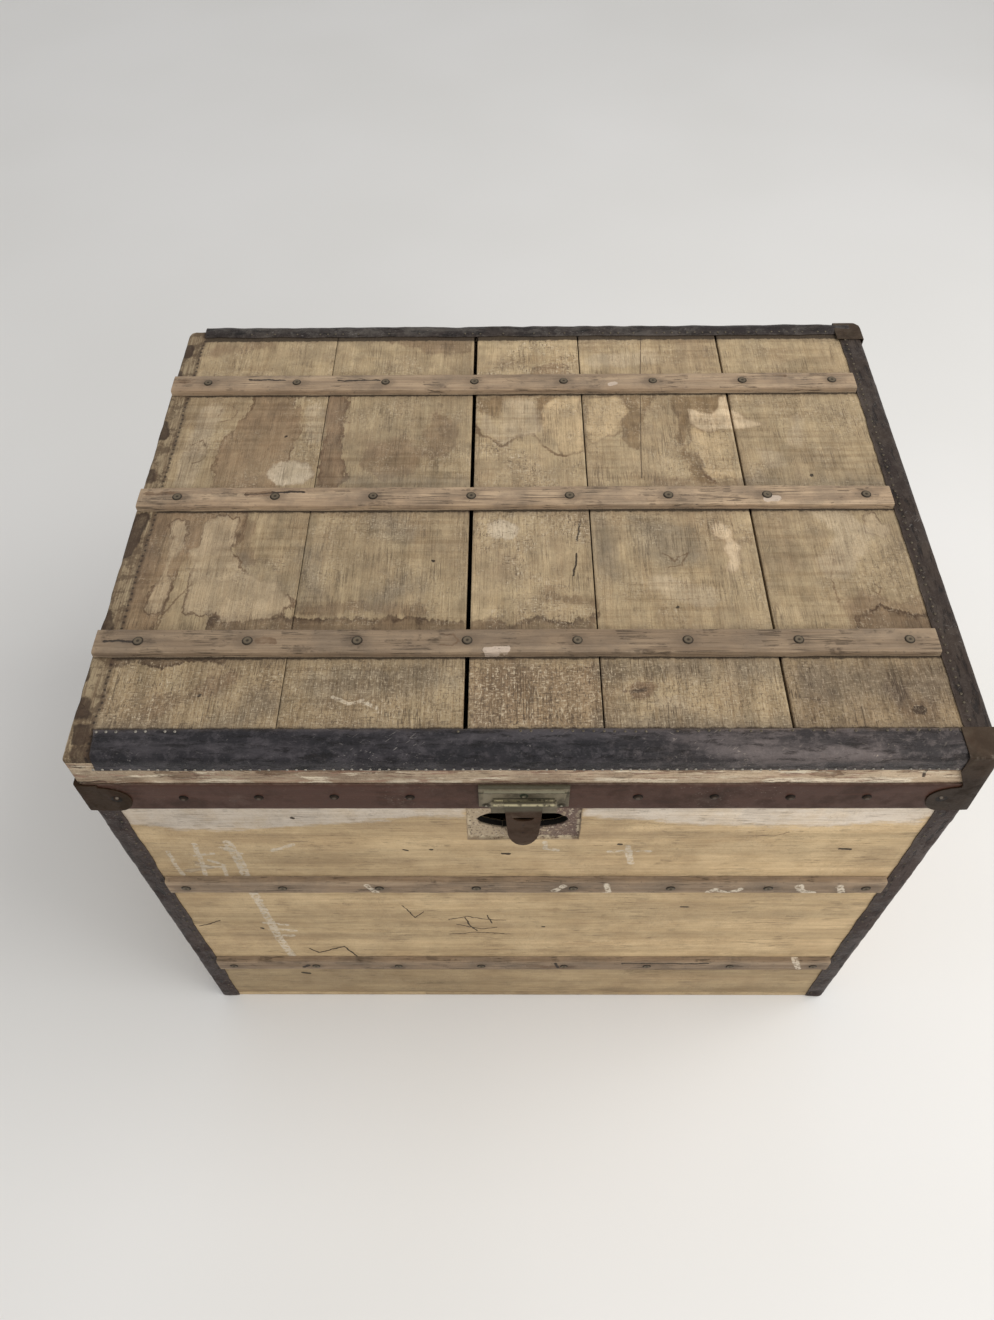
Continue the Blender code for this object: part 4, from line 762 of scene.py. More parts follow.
def along_x(t, place, run, seed):
    """The place turned so that the grain's run lies along X, and moved on so that boards differ."""
    x, y, z = t.parts(place)
    turned = {"X": (x, y, z), "Y": (y, x, z), "Z": (z, x, y)}[run]
    shift = (0.37 * seed, 0.61 * seed, 0.23 * seed)
    return t.vector("ADD", t.joined(*turned), shift)


def wire_shader(t, shader, colour, dulling, specular, height, depth, strength, metallic=0.0):
    """Wire the shader. dulling is a mask and the roughness at its two ends; depth is the relief's."""
    mask, clear, dull = dulling
    t.join(shader.inputs["Base Color"], colour)
    t.join(shader.inputs["Roughness"], t.step(mask, 0.0, 1.0, clear, dull))
    t.join(shader.inputs["Specular IOR Level"], specular)
    t.join(shader.inputs["Metallic"], metallic)
    bump = t.add("ShaderNodeBump", {"Strength": strength, "Distance": depth, "Height": height})
    t.join(shader.inputs["Normal"], bump.outputs["Normal"])


def board_finish(
    name, box, run, seed, tones, kinds=(), lines=(), plane=(0, 1), extra=None, weather=(0.3, 0.3, 0.4, 0.0)
):
    """Old poplar: faint grain along its run, blotches, dirt, flecks of glue and the listed stains.

    weather gives the strengths of the glue's flecks, of the grain, of the dirt and of the bands
    that lie across the grain.
    """
    pale, middle, deep, dirt = tones
    glued, grained, dirtied, banded = weather
    material, t, shader, place = new_material(name)
    along = along_x(t, place, run, seed)
    grain = t.effect("wood_grain", {"Vector": along, "Ring Count": 7.0 + seed % 4})
    colour = t.mix(t.linear(grain["Streaks"], 0.7, 0.15), middle, pale)
    colour = t.lay(colour, deep, grain["Rings"], 0.25)
    moved = t.vector("ADD", place, (0.11 * seed, 0.07 * seed, 0.0))
    clouds = t.effect("grime", {"Vector": moved, "Size": 0.085})
    colour = t.lay(colour, deep, clouds["Clouds"], 0.45)
    colour = t.lay(colour, pale, t.patches(moved, 11.0, 7.0, 0.66, 0.48, 0.62), 0.55)
    unmarked = colour
    colour = paint_areas(t, colour, place, kinds, run)
    colour, holes = paint_lines(t, colour, place, lines, box, *plane)
    dirty = t.effect("grime", {"Vector": t.vector("ADD", moved, (0.3, 0.9, 0.2)), "Size": 0.036})
    colour = t.lay(colour, dirt, dirty["Clouds"], 0.60 * dirtied)
    if banded:
        bands = t.patches(moved, (7.0, 150.0, 7.0), 5.0, 0.66, 0.42, 0.62)
        bands = t.times(bands, t.patches(moved, 8.0, 5.0, 0.6, 0.42, 0.60), banded)
        colour = t.mix(bands, colour, (0.74, 0.70, 0.66), "MULTIPLY")
    # Lighter and darker smears that follow the grain, and small patches on the lid
    if banded:
        smears = t.step(t.noise(along, (8.0, 62.0, 62.0), 8.0, 0.74), 0.36, 0.64, 0.87, 1.12)
        tone = t.times(smears, t.step(t.noise(moved, 36.0, 8.0, 0.74), 0.38, 0.62, 0.89, 1.10))
    else:
        smears = t.step(t.noise(along, (1.3, 48.0, 48.0), 9.0, 0.70), 0.36, 0.62, 0.86, 1.06)
        tone = t.times(smears, t.step(t.noise(along, (2.2, 15.0, 15.0), 5.0, 0.62), 0.36, 0.64, 0.90, 1.08))
    # Painted light on the lid's front rim and the front boards: brighter towards the right, where the light
    # comes from
    if plane == (0, 2):
        tone = t.times(tone, t.step(t.parts(place)[0], -0.30, 0.16, 0.94, 1.075))
    colour = t.scale(colour, tone)
    cloth = t.effect("glue_weave", {"Vector": place})
    patches = t.patches(moved, 13.0, 6.0, 0.68, 0.44, 0.60)
    stronger = 1.0
    if banded:
        front_row = t.step(t.parts(place)[1], *FRONT_ROW)
        stronger = t.linear(front_row, 0.7, 1.0)
        patches = t.math("MAXIMUM", patches, t.times(front_row, 0.7))
    glued = t.times(patches, glued, stronger)
    colour = t.lay(colour, (0.56, 0.46, 0.33), cloth["Flecks"], glued, clamp=True)
    colour = t.lay(colour, (0.125, 0.090, 0.062), cloth["Threads"], glued, clamp=True)
    grained = t.times(stronger, grained)
    colour = t.lay(colour, (0.60, 0.52, 0.44), grain["Fibres"], grained, "MULTIPLY")
    pores = t.times(grain["Pores"], grained, 0.9, clamp=True)
    colour = t.mix(pores, colour, (0.115, 0.080, 0.055))
    checks = t.times(grain["Checks"], grained, 1.3, clamp=True)
    colour = t.mix(checks, colour, (0.085, 0.057, 0.038))
    colour = t.lay(colour, dirt, dirty["Specks"], 0.5 * dirtied)
    if extra:
        colour = extra(t, colour, place)
    if kinds:
        # The face that looks into the trunk has the grain alone
        low, high = box
        if plane == (0, 1):
            seen = t.step(t.parts(place)[2], low.z + 0.0001, low.z + 0.0004)
        else:
            seen = t.step(t.parts(place)[1], high.y - 0.0001, high.y - 0.0003)
        unmarked = t.mix(t.times(grain["Fibres"], 0.4), t.scale(unmarked, tone), deep)
        unmarked = t.lay(unmarked, dirt, dirty["Clouds"], 0.25)
        colour = t.mix(seen, unmarked, colour)
    height = t.linear(grain["Fibres"], -0.4, t.times(grain["Streaks"], 0.4))
    height = t.linear(t.minus(cloth["Flecks"], cloth["Threads"]), 0.4, height)
    height = t.linear(pores, -1.0, height)
    height = t.linear(checks, -2.0, height)
    if holes is not None:
        height = t.linear(holes, -3.0, height)
    wire_shader(t, shader, colour, (clouds["Clouds"], 0.88, 0.72), 0.25, height, 0.0005, 0.8)
    return material


def toned(tones, factor):
    return tuple(tuple(part * factor for part in tone) for tone in tones)


# Boards: pale, middle and deep wood, and dirt
LID_TONES = ((0.430, 0.332, 0.204), (0.364, 0.273, 0.162), (0.240, 0.166, 0.098), (0.136, 0.105, 0.076))
CASE_TONES = ((0.600, 0.452, 0.268), (0.500, 0.366, 0.208), (0.350, 0.235, 0.124), (0.215, 0.160, 0.100))
RIM_TONES = ((0.600, 0.480, 0.340), (0.460, 0.345, 0.232), (0.330, 0.215, 0.145), (0.180, 0.130, 0.092))


def dirt_and_shade_by_slats(t, colour, place):
    """Dark dust and painted shade along the slats' foot and the bindings' edges, with a near-black painted
    shadow line right against them, on a top that is cleaner at the back.
    """
    y = t.parts(place)[1]
    colour = t.mix(t.step(y, 0.02, -0.22), colour, (0.92, 0.91, 0.89), "MULTIPLY")
    colour = t.mix(t.step(y, 0.10, 0.25), colour, (1.14, 1.14, 1.13), "MULTIPLY")
    fine = t.jitter(place, 150.0, 4.0, 0.7, 0.003)
    wobble = t.plus(t.jitter(place, 45.0, 4.0, 0.6, 0.006), fine)
    share = painted_shadow_line = 0.0
    edges = [(middle, SLAT_WIDTH / 2) for middle in LID_SLATS.values()]
    edges += [(-HALF_DEPTH, 0.030), (HALF_DEPTH, 0.023)]
    for middle, half in edges:
        gap = t.minus(t.apart(y, middle), half)
        share = t.math("MAXIMUM", t.step(t.plus(gap, wobble), 0.011, -0.004), share)
        painted_shadow_line = t.math("MAXIMUM", t.step(t.plus(gap, fine), 0.0032, 0.0008), painted_shadow_line)
    # A band of dust and painted soft shade along each foot, and a near-black painted shadow line tight
    # against it
    colour = t.lay(colour, (0.135, 0.098, 0.066), share, 0.50)
    return t.lay(colour, (0.030, 0.020, 0.013), painted_shadow_line, 0.88)


def darker_front_right(t, colour, place):
    """The right plank is dirtier in front of the foremost slat."""
    in_front = t.step(t.parts(place)[1], *FRONT_ROW)
    colour = t.mix(in_front, colour, (0.78, 0.76, 0.76), "MULTIPLY")
    return dirt_and_shade_by_slats(t, colour, place)


def bare_left_rim(t, colour, place):
    """The pale strip on the left, with glue and a row of tack holes, where a binding has been."""
    colour = dirt_and_shade_by_slats(t, colour, place)
    x, y = t.parts(place)[:2]
    wavy = t.jitter(t.joined(0.0, y, 0.0), 14.0, 5.0, 0.7, 0.006)
    inward = t.minus(t.plus(x, -TACK_LINE_X), wavy)
    covered = t.step(inward, 0.0010, -0.0010)
    grain = t.noise(place, (500.0, 30.0, 500.0), 5.0, 0.66)
    bare = t.mix(t.step(grain, 0.38, 0.62), (0.325, 0.250, 0.155), (0.180, 0.125, 0.075))
    bare = t.lay(bare, (0.085, 0.054, 0.032), t.patches(place, 55.0, 7.0, 0.72, 0.47, 0.58), 0.75)
    bare = t.lay(bare, (0.050, 0.034, 0.022), t.patches(place, 210.0, 4.0, 0.7, 0.58, 0.66), 0.5)
    colour = t.mix(covered, colour, bare)
    colour = paint_areas(t, colour, place, ("glue", "cream"))
    # A row of tack holes, on a darker line
    rest = t.minus(t.math("FRACT", t.math("DIVIDE", y, TACK_HOLE_PITCH)), 0.5)
    off = t.joined(inward, t.times(rest, TACK_HOLE_PITCH), 0.0)
    hole = t.step(t.vector("LENGTH", off), 0.0017, 0.0009)
    edge = t.step(t.math("ABSOLUTE", inward), 0.0042, 0.0004)
    edge = t.times(edge, t.patches(place, 90.0, 5.0, 0.7, 0.30, 0.56))
    colour = t.lay(colour, (0.070, 0.044, 0.028), edge, 0.75)
    return t.lay(colour, (0.022, 0.015, 0.011), hole, 0.75)


def peeled_rim(t, colour, place):
    """Cream paint and red-brown glue, left in long dabs on the lid's bare front edge."""
    cream, dark_red, pale_red = (0.80, 0.70, 0.53), (0.19, 0.105, 0.068), (0.30, 0.175, 0.125)
    for shift, tone in ((0.0, cream), (7.3, dark_red), (3.1, pale_red)):
        moved = t.vector("ADD", place, (shift, 0.0, shift))
        dabs = t.patches(moved, (24.0, 24.0, 170.0), 7.0, 0.72, 0.55, 0.62)
        colour = t.lay(colour, tone, dabs, 0.80)
    return colour


def torn_lock_place(t, colour, place):
    """Crumbled, bruised wood where the lock has been, with near-black painted shade on the deeper wall of its
    hole.
    """
    near = t.stored("area_raw")
    inside = t.step(near, 0.0006, -0.0006)
    x, y, z = t.parts(place)
    crumbs = t.noise(place, 230.0, 6.0, 0.75)
    bruised = t.step(t.linear(x, 3.0, crumbs), 0.42, 0.62)
    torn = t.mix(bruised, (0.440, 0.345, 0.235), (0.150, 0.098, 0.080))
    torn = t.mix(t.step(crumbs, 0.55, 0.66), torn, (0.640, 0.540, 0.400))
    rim = t.step(near, -0.0045, -0.0012)
    chipped = t.patches(place, 150.0, 5.0, 0.7, 0.44, 0.56)
    torn = t.lay(torn, (0.620, 0.520, 0.370), rim, chipped)
    torn = t.mix(t.patches(place, 330.0, 4.0, 0.7, 0.54, 0.64), torn, (0.085, 0.055, 0.042))
    colour = t.mix(inside, colour, torn)
    # Painted shade: the hole's wall deeper than about 4 mm is made near black
    across = t.math("DIVIDE", t.minus(x, LOCK_CENTRE[0]), LOCK_HALF[0])
    up = t.math("DIVIDE", t.minus(z, LOCK_CENTRE[1]), LOCK_HALF[1])
    hole = t.step(t.vector("LENGTH", t.joined(across, up, 0.0)), 1.08, 1.04)
    deep = t.times(hole, t.step(y, 0.0040 - CASE_Y, 0.0052 - CASE_Y))
    return t.mix(deep, colour, (0.010, 0.008, 0.006))


def slat_finish(node, box, run, seed, nails, tint, plane=(0, 1)):
    """Grey-brown hardwood slat: strong fibres, cracks, and a dark stain round each nail."""
    material, t, shader, place = new_material("slat_wood_" + node)
    along = along_x(t, place, run, seed)
    grain = t.effect("wood_grain", {"Vector": along, "Ring Count": 12.0})
    pale = (0.385 * tint, 0.280 * tint, 0.182 * tint)
    middle = (0.285 * tint, 0.198 * tint, 0.125 * tint)
    deep = (0.115, 0.078, 0.052)
    colour = t.mix(grain["Streaks"], middle, pale)
    colour = t.lay(colour, deep, grain["Rings"], 0.30)
    blotches = t.effect("grime", {"Vector": t.vector("ADD", place, (0.2 * seed, 0.1, 0.0)), "Size": 0.06})
    colour = t.lay(colour, (0.140, 0.108, 0.080), blotches["Clouds"], 0.45)
    colour = t.lay(colour, deep, grain["Fibres"], 0.32)
    # Stains round the nails: the distance to the nearest one of an even row
    first, pitch, row = nails
    parts = t.parts(place)
    steps = t.math("DIVIDE", t.minus(parts["XY".index(run)], first - pitch / 2), pitch)
    off = t.times(t.minus(t.math("FRACT", steps), 0.5), pitch * 0.62)
    side = t.minus(parts[plane[1]], row)
    wobble = t.jitter(place, 80.0, 4.0, 0.6, 0.006)
    reach = t.plus(t.vector("LENGTH", t.joined(off, side, 0.0)), wobble)
    colour = t.lay(colour, (0.100, 0.070, 0.048), t.step(reach, 0.0115, 0.003), 0.45)
    # Cracks that follow the grain
    crack = t.apart(t.noise(along, (5.0, 150.0, 150.0), 2.0, 0.5), 0.5)
    crack = t.times(t.step(crack, 0.016, 0.004), t.patches(along, 12.0, 2.0, 0.5, 0.56, 0.64))
    crack = t.math("MAXIMUM", crack, grain["Checks"])
    colour = t.lay(colour, (0.050, 0.033, 0.022), crack, 0.60)
    colour, holes = paint_lines(t, colour, place, SLAT_MARKS.get(node, ()), box, *plane)
    colour = t.lay(colour, (0.43, 0.33, 0.22), t.edge_wear(place), 0.42)
    colour = t.lay(colour, (0.075, 0.055, 0.04), blotches["Specks"], 0.45)
    height = t.linear(grain["Fibres"], 0.6, t.times(grain["Streaks"], 0.6))
    height = t.linear(crack, -2.0, height)
    if holes is not None:
        height = t.linear(holes, -2.5, height)
    wire_shader(t, shader, colour, (grain["Streaks"], 0.80, 0.66), 0.3, height, 0.0005, 0.8)
    return material


def binding_finish(name, tones, seed, run="X", scuffed=1.0, extra=None):
    """Hard leather-like binding: clouded black, pebbled, with grey scuffs and pale scratches."""
    base, worn, dust = tones
    material, t, shader, place = new_material(name)
    moved = t.vector("ADD", place, (0.31 * seed, 0.17 * seed, 0.0))
    stretched = along_x(t, moved, run, 0)
    clouds = t.effect("grime", {"Vector": moved, "Size": 0.045})
    colour = t.mix(t.times(clouds["Clouds"], 0.85), base, worn)
    wide = t.patches(stretched, (7.0, 30.0, 30.0), 7.0, 0.68, 0.46, 0.66)
    colour = t.lay(colour, dust, wide, 0.70 * scuffed, clamp=True)
    rub = t.effect("scuffs", {"Vector": moved, "Amount": 0.9})
    colour = t.lay(colour, dust, rub["Haze"], 0.60 * scuffed, clamp=True)
    mottled = t.patches(moved, 85.0, 6.0, 0.74, 0.48, 0.62)
    colour = t.lay(colour, dust, mottled, 0.42 * scuffed, clamp=True)
    creases = t.noise(stretched, (40.0, 160.0, 160.0), 5.0, 0.70)
    # Painted shade, near black, in the creases, which the relief also sinks
    colour = t.lay(colour, (0.008, 0.007, 0.007), t.step(creases, 0.53, 0.65), 0.70)
    colour = t.lay(colour, (0.32, 0.29, 0.27), rub["Lines"], 0.50 * scuffed, clamp=True)
    colour = t.lay(colour, (0.130, 0.098, 0.078), t.edge_wear(moved), 0.30)
    flakes = t.patches(moved, 310.0, 3.0, 0.7, 0.66, 0.74)
    flakes = t.times(flakes, t.patches(moved, 24.0, 4.0, 0.65, 0.46, 0.60))
    colour = t.lay(colour, (0.30, 0.27, 0.24), flakes, 0.45 * scuffed, clamp=True)
    if extra:
        colour = extra(t, colour, place)
    height = t.linear(t.noise(moved, 520.0, 3.0, 0.6), 0.25, t.noise(moved, 95.0, 7.0, 0.68))
    height = t.linear(t.step(creases, 0.50, 0.66), -0.5, height)
    height = t.linear(rub["Lines"], -0.4, height)
    wire_shader(t, shader, colour, (clouds["Clouds"], 0.40, 0.66), 0.12, height, 0.0013, 0.9)
    return material


def lighter_front_right(t, colour, place):
    """The front binding is greyer and warmer from its middle to its right end."""
    patchy = t.jitter(place, 14.0, 5.0, 0.65, 0.08)
    share = t.step(t.plus(t.parts(place)[0], patchy), 0.03, 0.22)
    return t.mix(share, colour, (1.90, 1.76, 1.55), "MULTIPLY")


def metal_finish(name, tones, seed, metallic, rust, extra=None):
    """Old sheet metal: dull patches, rust in the hollows and bare rubbed edges."""
    base, dull, rusty, bright = tones
    material, t, shader, place = new_material(name)
    moved = t.vector("ADD", place, (0.19 * seed, 0.29 * seed, 0.0))
    clouds = t.effect("grime", {"Vector": moved, "Size": 0.028})
    colour = t.mix(clouds["Clouds"], base, dull)
    rusting = t.times(t.patches(moved, 75.0, 6.0, 0.7, 0.50, 0.66), rust)
    colour = t.mix(rusting, colour, rusty)
    rub = t.effect("scuffs", {"Vector": moved, "Amount": 0.7})
    colour = t.lay(colour, bright, rub["Haze"], 0.28)
    colour = t.lay(colour, bright, t.edge_wear(moved), 0.6)
    colour = t.lay(colour, rusty, clouds["Specks"], 0.4)
    if extra:
        colour = extra(t, colour, place)
    height = t.linear(t.noise(moved, 420.0, 4.0, 0.6), 0.4, t.noise(moved, 95.0, 3.0, 0.5))
    height = t.linear(rusting, 0.5, height)
    wire_shader(t, shader, colour, (clouds["Clouds"], 0.50, 0.70), 0.10, height, 0.0005, 0.6, metallic)
    return material


def between(t, value, low, high, soft=0.0004):
    """One inside a stretch of values and nothing outside it, with soft ends."""
    return t.times(t.step(value, low - soft, low + soft), t.step(value, high + soft, high - soft))


def spot(t, x, z, at_x, at_z, inner, outer):
    """One within the inner distance of a point on the front, nothing past the outer one."""
    away = t.joined(t.minus(x, at_x), t.minus(z, at_z), 0.0)
    return t.step(t.vector("LENGTH", away), outer, inner)


def cap_details(t, colour, place):
    """A dark ring of painted shade round and below the rivet and a painted glint above it on a cap's two
    faces, a paler upper part, and a pale line along the top fold that is partly rubbed metal and partly
    painted highlight.
    """
    x, y, z = t.parts(place)
    colour = t.mix(t.step(z, 0.572, 0.592), colour, (1.52, 1.56, 1.56), "MULTIPLY")
    broken = t.patches(place, 120.0, 5.0, 0.7, 0.44, 0.60)
    edge = t.step(t.math("ABSOLUTE", y), HALF_DEPTH - 0.0028, HALF_DEPTH - 0.0012)
    # Along the top fold: rubbed metal and a painted highlight
    fold = t.times(edge, t.step(z, 0.6090, 0.6105), broken)
    colour = t.lay(colour, (0.150, 0.120, 0.094), fold, 0.60)
    for across, reach, past, face in ((x, HALF_WIDTH, y, HALF_DEPTH), (y, HALF_DEPTH, x, HALF_WIDTH)):
        outer = t.step(t.math("ABSOLUTE", past), face - 0.0010, face + 0.0005)
        off = t.math("ABSOLUTE", across)
        rivet = reach - CAP_RIVET_INSET
        middle = spot(t, off, z, rivet, BAND_MIDDLE + 0.0008, 0.0014, 0.0034)
        whole = spot(t, off, z, rivet, BAND_MIDDLE - 0.0008, 0.0042, 0.0064)
        # Painted shade round the rivet, heavier below it
        ring = t.times(t.minus(whole, middle, clamp=True), outer)
        colour = t.lay(colour, (0.008, 0.006, 0.005), ring, 0.85)
        # Painted highlight: a glint on the rivet's upper side
        glint = t.times(spot(t, off, z, rivet - 0.001, BAND_MIDDLE + 0.0018, 0.0006, 0.0022), outer)
        colour = t.lay(colour, (0.185, 0.155, 0.125), glint, 0.80)
    return colour


def hasp_details(t, colour, place):
    """Painted highlight on the hasp plate's bead, a darker band above it and painted shade below it, a dark
    ring round the screw, a dark spot and a painted glint at each rivet, and the barrel's painted highlight
    line.
    """
    x, _, z = t.parts(place)
    height = t.plus(z, t.jitter(place, 260.0, 4.0, 0.7, 0.0015))
    off = t.apart(x, HASP_X)
    colour = t.lay(colour, (0.036, 0.032, 0.019), between(t, height, *ABOVE_BEAD), 0.70)
    # Painted highlight on the bead
    bead = t.times(between(t, height, *BEAD), t.step(off, 0.0365, 0.0350))
    colour = t.lay(colour, (0.235, 0.215, 0.145), bead, 0.80)
    # Painted shade below the bead
    colour = t.lay(colour, (0.028, 0.026, 0.016), between(t, height, *BELOW_BEAD), 0.70)
    whole = spot(t, x, z, HASP_X, SCREW_HEIGHT, 0.0034, 0.0046)
    ring = t.minus(whole, spot(t, x, z, HASP_X, SCREW_HEIGHT, 0.0012, 0.0024))
    colour = t.lay(colour, (0.012, 0.018, 0.010), ring, 0.85)
    for at_x in (HASP_X - PLATE_RIVET_X, HASP_X + PLATE_RIVET_X):
        dirt = spot(t, x, z, at_x, PLATE_RIVET_HEIGHT, 0.0028, 0.0050)
        colour = t.lay(colour, (0.020, 0.016, 0.010), dirt, 0.75)
        # Painted highlight: a glint on each rivet
        glint = spot(t, x, z, at_x, PLATE_RIVET_HEIGHT, 0.0006, 0.0016)
        colour = t.lay(colour, (0.34, 0.31, 0.24), glint, 0.80)
    return barrel_highlight(t, colour, place)


def barrel_highlight(t, colour, place):
    """A painted highlight as a bright thin line along the top of the hasp's barrel, with a darker line above
    it.
    """
    x, _, z = t.parts(place)
    reach = t.step(t.apart(x, HASP_X), 0.0285, 0.0270)
    broken = t.patches(place, 190.0, 4.0, 0.7, 0.36, 0.52)
    # Painted highlight along the barrel's top
    line = t.times(between(t, z, 0.5418, 0.5434, 0.0003), reach, broken)
    colour = t.lay(colour, (0.42, 0.37, 0.23), line, 0.90)
    dirt = t.times(between(t, z, 0.5442, 0.5466, 0.0006), reach)
    return t.lay(colour, (0.020, 0.018, 0.011), dirt, 0.75)


def tongue_details(t, colour, place):
    """The tongue is painted lighter olive at its top, as light falling there, and brown with two dark dots
    below.
    """
    x, _, z = t.parts(place)
    # Painted light: a lighter olive laid over the tongue's top
    upper = t.step(t.linear(t.noise(place, 90.0, 4.0, 0.6), 0.006, z), 0.5250, 0.5320)
    colour = t.lay(colour, (0.092, 0.080, 0.054), upper, 0.85)
    for at_z in (0.4985, 0.4845):
        dot = spot(t, x, z, HASP_X, at_z, 0.0007, 0.0017)
        colour = t.lay(colour, (0.014, 0.008, 0.008), dot, 0.80)
    return barrel_highlight(t, colour, place)


def nail_head_details(t, colour, place):
    """A dark outer ring, a paler crown that is partly rubbed bronze and partly painted highlight, and a dark
    middle, by the distance from each head's middle.
    """
    reach = t.stored("reach")
    colour = t.lay(colour, (0.020, 0.015, 0.011), t.step(reach, 0.70, 0.90), 0.85)
    # Paler crown: rubbed bronze and a painted highlight
    crown = between(t, reach, 0.30, 0.72, 0.10)
    colour = t.lay(colour, (0.165, 0.130, 0.088), crown, 0.60)
    return t.lay(colour, (0.040, 0.030, 0.021), t.step(reach, 0.34, 0.14), 0.60)


def rivet_details(t, colour, place):
    """A dark ring round each band rivet and a paler crown, partly rubbed metal and partly a painted
    highlight.
    """
    reach = t.stored("reach")
    colour = t.lay(colour, (0.007, 0.005, 0.004), t.step(reach, 0.72, 0.92), 0.90)
    # Paler crown: rubbed metal and a painted highlight
    return t.lay(colour, (0.105, 0.078, 0.060), t.step(reach, 0.60, 0.25), 0.75)


def band_finish():
    """Painted red-brown band: rubbed paint, darker smears and pale scratches."""
    material, t, shader, place = new_material("red_brown_band")
    moved = t.vector("ADD", place, (0.19, 0.0, 0.0))
    clouds = t.effect("grime", {"Vector": moved, "Size": 0.07})
    colour = t.mix(clouds["Clouds"], (0.053, 0.0194, 0.0103), (0.034, 0.0156, 0.0094))
    along = t.patches(moved, (12.0, 12.0, 150.0), 5.0, 0.6, 0.50, 0.68)
    colour = t.lay(colour, (0.070, 0.028, 0.0170), along, 0.55)
    rub = t.effect("scuffs", {"Vector": moved, "Amount": 0.9})
    colour = t.lay(colour, (0.30, 0.24, 0.19), rub["Lines"], 0.40)
    colour = t.lay(colour, (0.15, 0.115, 0.090), rub["Haze"], 0.30)
    colour = t.lay(colour, (0.21, 0.15, 0.115), t.edge_wear(moved), 0.5)
    colour = t.lay(colour, (0.03, 0.022, 0.018), clouds["Specks"], 0.45)
    height = t.linear(t.noise(moved, 500.0, 3.0, 0.6), 0.3, t.noise(moved, 60.0, 4.0, 0.55))
    wire_shader(t, shader, colour, (clouds["Clouds"], 0.5, 0.68), 0.22, height, 0.0005, 0.6)
    return material


build_effects()

# Metal: clean, dull, rusty and rubbed bright
IRON = ((0.0245, 0.0148, 0.0088), (0.0175, 0.0113, 0.0072), (0.029, 0.0145, 0.0080), (0.060, 0.043, 0.029))
OLIVE = ((0.0275, 0.0143, 0.006), (0.0205, 0.0115, 0.0052), (0.032, 0.0132, 0.0062), (0.048, 0.03, 0.016))
BRASS = ((0.118, 0.098, 0.066), (0.077, 0.066, 0.046), (0.056, 0.041, 0.026), (0.262, 0.224, 0.152))
TONGUE = ((0.046, 0.0245, 0.013), (0.036, 0.0202, 0.0115), (0.056, 0.0264, 0.0145), (0.098, 0.067, 0.042))
NAIL_TONES = ((0.070, 0.057, 0.041), (0.048, 0.040, 0.030), (0.060, 0.038, 0.024), (0.24, 0.205, 0.15))
TACK_TONES = ((0.22, 0.20, 0.17), (0.10, 0.09, 0.075), (0.07, 0.05, 0.035), (0.42, 0.39, 0.34))
# Bindings: plain, worn and dusty
BLACK = ((0.0170, 0.0158, 0.0180), (0.028, 0.025, 0.028), (0.080, 0.071, 0.076))
BROWN_BLACK = ((0.0275, 0.0188, 0.0155), (0.039, 0.0280, 0.0220), (0.073, 0.057, 0.046))
PURPLE_BLACK = ((0.022, 0.017, 0.016), (0.042, 0.033, 0.029), (0.105, 0.092, 0.080))
CORNER_BLACK = ((0.0250, 0.0150, 0.0130), (0.034, 0.0215, 0.0185), (0.064, 0.046, 0.040))

IRON_FINISH = metal_finish("dark_iron_cap", IRON, 1, 0.0, 0.45, cap_details)
OLIVE_IRON_FINISH = metal_finish("dark_iron_cap_left", OLIVE, 8, 0.0, 0.5, cap_details)
RIVET_FINISH = metal_finish("dark_iron_rivet", IRON, 9, 0.1, 0.3, rivet_details)
HINGE_FINISH = metal_finish("dark_iron_hinge", IRON, 4, 0.40, 0.6)
BRASS_FINISH = metal_finish("old_brass_hasp", BRASS, 2, 0.25, 0.6, hasp_details)
TONGUE_FINISH = metal_finish("dark_iron_tongue", TONGUE, 3, 0.15, 0.3, tongue_details)
NAIL_FINISH = metal_finish("nail_iron", NAIL_TONES, 5, 0.25, 0.4, nail_head_details)
TACK_FINISH = metal_finish("tack_iron", TACK_TONES, 6, 0.4, 0.2)
DULL_TACK_FINISH = metal_finish("dull_tack_iron", NAIL_TONES, 7, 0.3, 0.3)
FRONT_BINDING_FINISH = binding_finish("black_binding_front", BLACK, 1, extra=lighter_front_right)
BACK_BINDING_FINISH = binding_finish("black_binding_back", PURPLE_BLACK, 2)
RIGHT_BINDING_FINISH = binding_finish("brown_binding_right", BROWN_BLACK, 3, "Y")
CORNER_BINDING_FINISH = binding_finish("brown_binding_corner", CORNER_BLACK, 4, "Z", 1.3)
BAND_FINISH = band_finish()


# Shapes

def wander(along, seed, size=60.0):
    """A smooth random value from about -1 to 1 along a piece; size is the length of its waves in mm."""
    return noise.noise(Vector((along * 1000 / size, seed * 7.31, seed * 3.17))) * 1.6


def spread(first, last, count):
    return [first + (last - first) * i / (count - 1) for i in range(count)]


def new_piece(name, shape, body, material, replaced=(), sharp=38):
    mesh = bpy.data.meshes.new(name)
    bmesh.ops.recalc_face_normals(shape, faces=shape.faces)
    shape.to_mesh(mesh)
    shape.free()
    if material:
        mesh.materials.append(material)
    mesh.shade_smooth()
    mesh.set_sharp_from_angle(angle=math.radians(sharp))
    obj = bpy.data.objects.new(name, mesh)
    bpy.context.scene.collection.objects.link(obj)
    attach(obj, body)
    if replaced:
        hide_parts(*replaced)
    return obj


def skin(shape, loops, ring=False):
    """Faces between closed loops of points, with flat ends unless the loops join up in a ring."""
    made = [[shape.verts.new(p) for p in loop] for loop in loops]
    pairs = list(zip(made, made[1:]))
    if ring:
        pairs.append((made[-1], made[0]))
    for a, b in pairs:
        for i in range(len(a)):
            j = (i + 1) % len(a)
            shape.faces.new((a[i], a[j], b[j], b[i]))
    if not ring:
        shape.faces.new(list(reversed(made[0])))
        shape.faces.new(made[-1])


